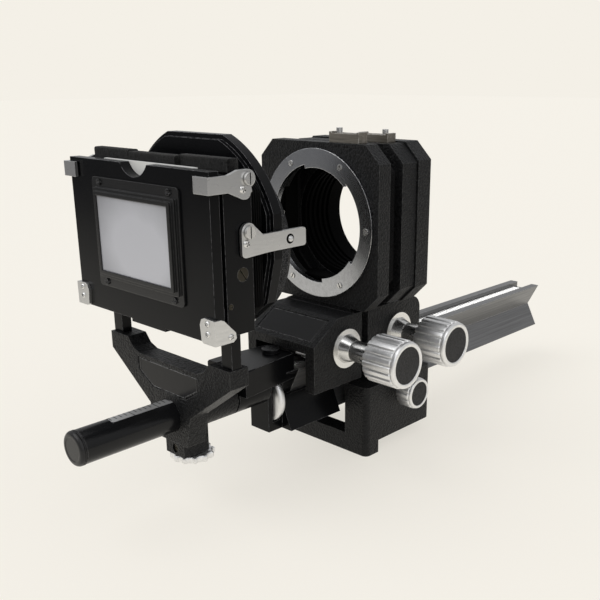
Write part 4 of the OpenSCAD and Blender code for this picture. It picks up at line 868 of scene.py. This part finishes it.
@dataclass
class Bellows(SubAssembly):
    """The folded main bellows and the folded copier bellows."""

    main_pleats: int = 12
    copier_pleats: int = 8
    hem_room: float = 3.3
    hem_reach: float = 5.0
    hem_thick: float = 0.8
    hem_inset: float = 8.6
    hem_cut: float = 6.5
    hem_front: float = 2.2
    wall: float = 0.25

    def build(self) -> None:
        """Makes both, each spanning two bodies and hung on neither, and the main one's hem."""
        self._tube("main_bellows", "rail", "rear_standard", self.main_pleats, cut=7.0, depth=3.6,
                   room=self.hem_room)
        self._tube("copier_bellows", "stage", "hood", self.copier_pleats, cut=4.5, depth=3.2, room=0.0)
        self._band()

    def _band(self) -> None:
        """The cloth's plain front hem inside the first fold: a straight tube on the lens panel."""
        low, high = (np.array(c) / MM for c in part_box("main_bellows"))
        size = high[0] - low[0] - self.hem_inset
        share = np.linspace(0.0, 1.0, 8 * 8, endpoint=False)
        front, back, thick = low[1] - self.hem_front, low[1] + self.hem_reach, self.hem_thick
        rows = np.array([[front, 0.0], [back, 0.0], [back, thick], [front, thick]])
        points = np.zeros((len(rows), len(share), 3))
        ring = np.stack([octagon(size - 2.0 * inset, size - 2.0 * inset, self.hem_cut, share)
                         for inset in rows[:, 1]])
        points[..., 0], points[..., 2] = ring[..., 0], ring[..., 1] + AXIS_Z
        points[..., 1] = rows[:, :1]
        self.put("bellows_hem", (points, sweep_faces(points, True)), "matt_black", "front_standard",
                 crease=50.0)

    def _tube(self, node: str, front: str, back: str, pleats: int, cut: float, depth: float,
              room: float) -> None:
        """A pleated tube: its size is width − 2·depth·(1 − fold(place)), with a wall inside it.

        Args:
            node: the CAD node that it stands for.
            front: body at its front end; not used.
            back: body at its back end; not used.
            pleats: number of folds.
            cut: size of the outline's corner cuts.
            depth: depth of a fold.
            room: length left free at its front end.
        """
        low, high = (np.array(c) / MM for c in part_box(node))
        low[1] += room
        width, height = high[0] - low[0], high[2] - low[2]
        share = np.linspace(0.0, 1.0, 8 * 12, endpoint=False)
        place = np.linspace(0.0, 1.0, pleats * 8 + 1)
        fold = np.abs(np.cos(place * pleats * np.pi)) ** 0.8
        rows = []
        for inset, order in ((0.0, 1), (self.wall, -1)):
            ring = np.stack([octagon(width - 2.0 * (depth * (1.0 - f) + inset),
                                     height - 2.0 * (depth * (1.0 - f) + inset), cut - f * 0.6, share)
                             for f in fold])[::order]
            along = (low[1] + place * (high[1] - low[1]))[::order]
            points = np.zeros(ring.shape[:2] + (3,))
            points[..., 0], points[..., 2] = ring[..., 0], ring[..., 1] + (low[2] + high[2]) / 2.0
            points[..., 1] = along[:, None]
            rows.append(points)
        points = np.concatenate(rows)
        faces = sweep_faces(points, True)
        piece = make_piece(node + "_pleated", points, faces, "bellows_cloth", crease=50.0)
        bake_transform(piece)
        self.keep(piece, None, [node])


@dataclass
class FeltPad(SubAssembly):
    """The felt pad on top of the stage, in three strips that overlap end to end."""

    seed: int = 7
    round_end: float = 0.012
    power: float = 0.32
    uneven: float = 0.035

    def build(self) -> None:
        """Makes one piece of the strips: superellipse sections along X with a slightly uneven skin."""
        low, high = (np.array(c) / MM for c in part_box("felt_pad"))
        rng = np.random.default_rng(self.seed)
        shapes = []
        # The spans of each strip along X, Y and Z, in mm.
        strips = (((low[0], -17.0), (low[1], low[1] + 4.4), (low[2], high[2] + 0.2)),
                  ((-18.5, 9.4), (low[1], low[1] + 4.4), (low[2], high[2] - 0.3)),
                  ((8.6, high[0]), (low[1] + 2.0, high[1]), (low[2], high[2])))
        for (x0, x1), (y0, y1), (z0, z1) in strips:
            turn = np.linspace(0.0, 2.0 * np.pi, 40, endpoint=False)
            curve = np.sin(np.linspace(0.0, np.pi / 2.0, 6))[1:] * self.round_end
            along = np.concatenate([[0.0], curve, np.linspace(0.03, 0.97, 60), 1.0 - curve[::-1], [1.0]])
            close = np.clip(self.round_end - np.minimum(along, 1.0 - along), 0.0, 1.0) / self.round_end
            full = np.clip(1.0 - close ** 2.5, 0.0, 1.0)
            section = np.stack([np.sign(side) * np.abs(side) ** self.power
                                for side in (np.cos(turn), np.sin(turn))], axis=-1)
            points = np.zeros((len(along), len(turn), 3))
            points[..., 0] = (x0 + along * (x1 - x0))[:, None]
            half_y, half_z = (y1 - y0) / 2.0, (z1 - z0) / 2.0
            fuzz = 1.0 - self.uneven * rng.random(points.shape[:2])
            grow = (0.86 + 0.14 * full)[:, None] * (full > 0.0)[:, None] * fuzz
            points[..., 1] = (y0 + y1) / 2.0 + half_y * section[None, :, 0] * grow
            points[..., 2] = (z0 + z1) / 2.0 + half_z * section[None, :, 1] * grow
            shapes.append((points, sweep_faces(points)))
        piece = make_piece("felt_strips", *merged(shapes), "felt_pad", crease=70.0)
        self.keep(piece, "stage", ["felt_pad"])


@dataclass
class RodCap(SubAssembly):
    """The cap on the rod's front end."""

    groove: float = 0.35
    edge: float = 1.4

    def build(self) -> None:
        """A turned cap: flat face, rounded front edge and a fine groove before the rod."""
        low, high = (np.array(c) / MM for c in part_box("rod_end_cap"))
        r, y0, y1, z = (high[0] - low[0]) / 2.0, low[1], high[1], (low[2] + high[2]) / 2.0
        turn = np.linspace(0.0, math.pi / 2.0, 7)
        soft = self.edge
        edge = np.stack([y0 + soft * (1.0 - np.cos(turn)), r - soft + soft * np.sin(turn)], axis=-1)
        face = np.array([[y0 + 0.15, 0.0], [y0 + 0.15, r - 2.1], [y0, r - 1.9]])
        deep = r - self.groove
        neck = np.array([[y1 - 1.1, r], [y1 - 0.95, deep], [y1 - 0.45, deep], [y1 - 0.3, r],
                         [y1, r], [y1, 0.0]])
        shape = lathe(np.concatenate([face, edge, neck]), Axis.Y, (0.0, 0.0, z), 96)
        self.put("rod_cap_turned", shape, "black_bakelite", "rail", "rod_end_cap")


@dataclass
class RodScale(SubAssembly):
    """The ruled strip let into the rod's top."""

    def build(self) -> None:
        """A flat strip with a half-round front end, closed on top towards its middle line."""
        low, high = (np.array(c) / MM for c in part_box("rod_scale"))
        half, turn = (high[0] - low[0]) / 2.0, np.linspace(0.0, np.pi, 17)
        x = np.concatenate([[half], half * np.cos(turn), [-half]])
        y = np.concatenate([[high[1]], low[1] + half * (1.0 - np.sin(turn)), [high[1]]])
        points = np.stack([
            np.stack([x * share, np.maximum(y, low[1] + half * (1.0 - share)), np.full_like(x, z)], axis=-1)
            for share, z in ((1.0, low[2]), (1.0, high[2]), (0.0, high[2]))])
        self.put("rod_scale_strip", (points, sweep_faces(points)), "scale_alloy", "rail", "rod_scale",
                 crease=20.0)


@dataclass
class PlateScrews(SubAssembly):
    """Small cross-head screws on latches, arms and brackets, and matt black rings of painted shade in the
    holes round the arms' balls.
    """

    side: float = 40.15
    radius: float = 1.3
    height: float = 0.75
    bracket_size: tuple[float, float] = (1.1, 0.6)

    def build(self) -> None:
        """Makes them on both sides, by places measured on the solids."""
        brackets = []
        for name, sign in (("left", -1.0), ("right", 1.0)):
            out = (sign, 0.0, 0.0)
            for kind, y, z in (("latch", -110.3, 121.97), ("arm", -109.5, 105.2)):
                head = self._head((sign * self.side, y, z), out, self.radius, self.height)
                self.put(f"{kind}_screw_{name}", head, "screw_steel", f"{kind}_{name}", crease=40.0)
            x = self.side
            # A matt black ring: painted shade in the hole round the arm's ball.
            seat = np.array([[x - 0.1, 0.9], [x + 0.06, 0.9], [x + 0.1, 1.0], [x + 0.1, 1.6],
                             [x - 0.1, 1.7]])
            seat[:, 0] *= sign
            shape = lathe(seat, Axis.X, (0.0, -90.8, 104.3), 40, closed=True)
            self.put("ball_hole_shade_" + name, shape, "matt_black", "arm_" + name)
            brackets += [self._head((sign * 39.8, -116.82, 76.65), out, *self.bracket_size)]
            brackets += [self._head((sign * 36.12, -123.2, z), (0.0, -1.0, 0.0), *self.bracket_size)
                         for z in (78.16, 81.52)]
        self.put("bracket_screw_heads", merged(brackets), "screw_steel", "stage", "bracket_screws",
                 crease=40.0)

    @staticmethod
    def _head(centre: Sequence[float], out: Sequence[float], radius: float, height: float) -> Shape:
        """A domed head: rise = height·(1 − share^4), less a pit where either bar of a cross lies.

        Args:
            centre: middle of the head's foot.
            out: direction that the head faces.
            radius: radius of the head.
            height: height of its dome.

        Returns:
            The points and the faces.
        """
        share = np.linspace(0.0, 1.0, 26)[:, None]
        turn = np.linspace(0.0, 2.0 * np.pi, 64, endpoint=False)[None, :]
        across, up = np.abs(share * np.cos(turn + 0.5)), np.abs(share * np.sin(turn + 0.5))
        cross = ((across < 0.17) & (up < 0.64)) | ((up < 0.17) & (across < 0.64))
        rise = height * (1.0 - share ** 4) - 0.5 * height * cross
        above = np.array([0.0, 0.0, 1.0])
        normal, right = np.array(out, float), np.cross(above, out)
        flat = share[..., None] * (np.cos(turn)[..., None] * right + np.sin(turn)[..., None] * above)
        points = np.asarray(centre, float) + radius * flat + rise[..., None] * normal
        foot = points[-1:] - 0.2 * normal
        middle = np.broadcast_to(foot.mean(axis=1, keepdims=True), foot.shape)
        points = np.concatenate([points, foot, middle])
        return points, sweep_faces(points)


@dataclass
class HoodRing(SubAssembly):
    """The ring with a diamond knurl behind the hood plate."""

    starts: int = 112
    cut: float = 0.016
    bore: float = 23.0

    def build(self) -> None:
        """A ring with crossed grooves in its outer wall, where either of two slanted waves is low."""
        low, high = (np.array(c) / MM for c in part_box("knurled_ring"))
        radius, bore, y0, y1 = (high[0] - low[0]) / 2.0, self.bore, low[1], high[1]
        rows = np.linspace(y0 + 1.0, y1 - 1.6, 44)
        rim = np.stack([rows, np.full_like(rows, radius)], axis=-1)
        front = np.array([[y0, bore + 2.3], [y0, radius - 0.8], [y0 + 0.2, radius - 0.3],
                          [y0 + 0.9, radius - 0.25]])
        back = np.array([[y1 - 1.5, radius - 0.5], [y1 - 0.4, radius - 0.6], [y1, radius - 1.1],
                         [y1, bore + 0.8], [y1 - 0.6, bore], [y1 - 3.4, bore], [y1 - 3.6, bore + 2.3]])
        profile = np.concatenate([front, rim, back])

        def knurl(turn: Array, along: Array) -> Array:
            """Diamond knurl on the rows between the plain edges.

            Args:
                turn: the angles.
                along: places along the axis.

            Returns:
                The share of the radius that is left.
            """
            slant = (along - y0) * 0.9 / radius
            first, second = (smooth_step(0.0, 0.5, triangle(turn + lean, self.starts))
                             for lean in (slant, -slant))
            inside = (along > y0 + 0.95) & (along < y1 - 1.55)
            return 1.0 - self.cut * (1.0 - np.minimum(first, second)) * inside

        shape = lathe(profile, Axis.Y, (0.0, 0.0, AXIS_Z), self.starts * 8, knurl, closed=True)
        self.put("hood_ring_knurled", shape, "black_anodised", "hood_ring", "knurled_ring")


@dataclass
class NamePlates(SubAssembly):
    """The bare plates on the yoke and on the front base."""

    thick: float = 0.35

    def build(self) -> None:
        """Makes both plates."""
        yoke = np.array([[-18.0, 4.9], [18.0, 4.9], [18.0, 0.0], [9.8, -4.9], [-9.8, -4.9], [-18.0, 0.0]])
        self._plate("yoke_plate", "yoke", yoke * 0.97, (0.0, -113.55, 51.4), (1, 0, 0), (0, 0, 1))
        tilt = math.atan2(9.0, 13.5)
        up = (0.0, math.cos(tilt), math.sin(tilt))
        base = np.array([[-16.0, -5.9], [16.0, -5.9], [16.0, 5.9], [-16.0, 5.9]])
        middle = (0.0, -59.0 + 6.75 + 0.5 * math.sin(tilt), 54.3 + 4.5 - 0.5 * math.cos(tilt))
        self._plate("base_plate", "front_standard", base, middle, (1, 0, 0), up)

    def _plate(self, name: str, body: str, outline: Array, centre: Sequence[float], right: Sequence[float],
               up: Sequence[float]) -> None:
        """A thin plate of shrunken copies of its outline: flat middle, a fine raised line and a soft edge.

        Args:
            name: name of the plate.
            body: the CAD body that it is fixed to.
            outline: corners in millimetres in the plate's plane.
            centre: middle of the plate's back.
            right: direction of the outline's first coordinate.
            up: direction of its second.
        """
        share = np.linspace(0.0, len(outline), len(outline) * 6, endpoint=False)
        ring = np.concatenate([outline, outline[:1]])
        walk = np.stack([np.interp(share, np.arange(len(ring)), ring[:, i]) for i in range(2)], axis=-1)
        steps = ((0.0, 0.0), (0.93, 0.0), (0.94, 0.08), (0.955, 0.08), (0.965, 0.0), (0.99, 0.0),
                 (1.0, -0.1), (1.0, -self.thick), (0.0, -self.thick))
        r, u = np.array(right, float), np.array(up, float)
        out = np.cross(r, u)
        rows = np.array([[s, h + self.thick] for s, h in steps])
        flat = walk[None, :, :1] * r + walk[None, :, 1:] * u
        points = np.array(centre)[None, None] + rows[:, None, :1] * flat + rows[:, None, 1:] * out
        self.put(name, (points, sweep_faces(points)), "plate_enamel", body, crease=20.0)


@dataclass
class SetScrews(SubAssembly):
    """The small grub screws sunk in the knobs' stems."""

    radius: float = 0.95
    stem_reach: float = 4.2
    stem_z: float = 48.9

    def build(self) -> None:
        """Makes one in each stem: a domed rim round a dark cone, turned about Y."""
        for name, body, x, y in (("front_grub_screw", "front_focus", 31.3, -40.8),
                                 ("rear_grub_screw", "rear_focus", 30.4, -7.4)):
            r, face = self.radius, y - self.stem_reach
            rim = np.array([[face + 1.0, r], [face - 0.02, r], [face - 0.1, r * 0.94],
                            [face - 0.1, r * 0.8], [face + 0.25, r * 0.7], [face + 0.7, 0.0]])
            shape = lathe(rim, Axis.Y, (x, 0.0, self.stem_z), 32)
            self.put(name, shape, "black_anodised", body, crease=25.0)


@dataclass
class CadNodes(SubAssembly):
    """The CAD nodes that stay in view, each with the finish of its slot."""

    def dress(self, subparts: Sequence[dict]) -> None:
        """Gives each node its finish.

        Args:
            subparts: the record's list of nodes and slots.
        """
        for part in subparts:
            node = self.nodes[part["node"]]
            node.data.materials.clear()
            node.data.materials.append(LOOKS[part["material_slot"]])
            LOG.info("%s: %s", part["node"], part["material_slot"])


def main() -> None:
    """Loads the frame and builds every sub-assembly."""
    logging.basicConfig(level=logging.INFO, format="%(message)s")
    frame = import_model()
    Studio().build()
    effects = Effects()
    for finish in FINISHES:
        LOOKS[finish.name] = finish.build(effects)
    record = frame["record"]
    SLOT_NAMES.update(m["slot"] for m in record["materials"])
    CadNodes(frame["nodes"]).dress(record["subparts"])
    kinds = (FocusKnobs, SetScrews, RodCap, RodScale, PlateScrews, Bellows, FeltPad, HoodRing, NamePlates)
    for kind in kinds:
        kind(frame["nodes"]).build()


if __name__ == "__main__":
    main()
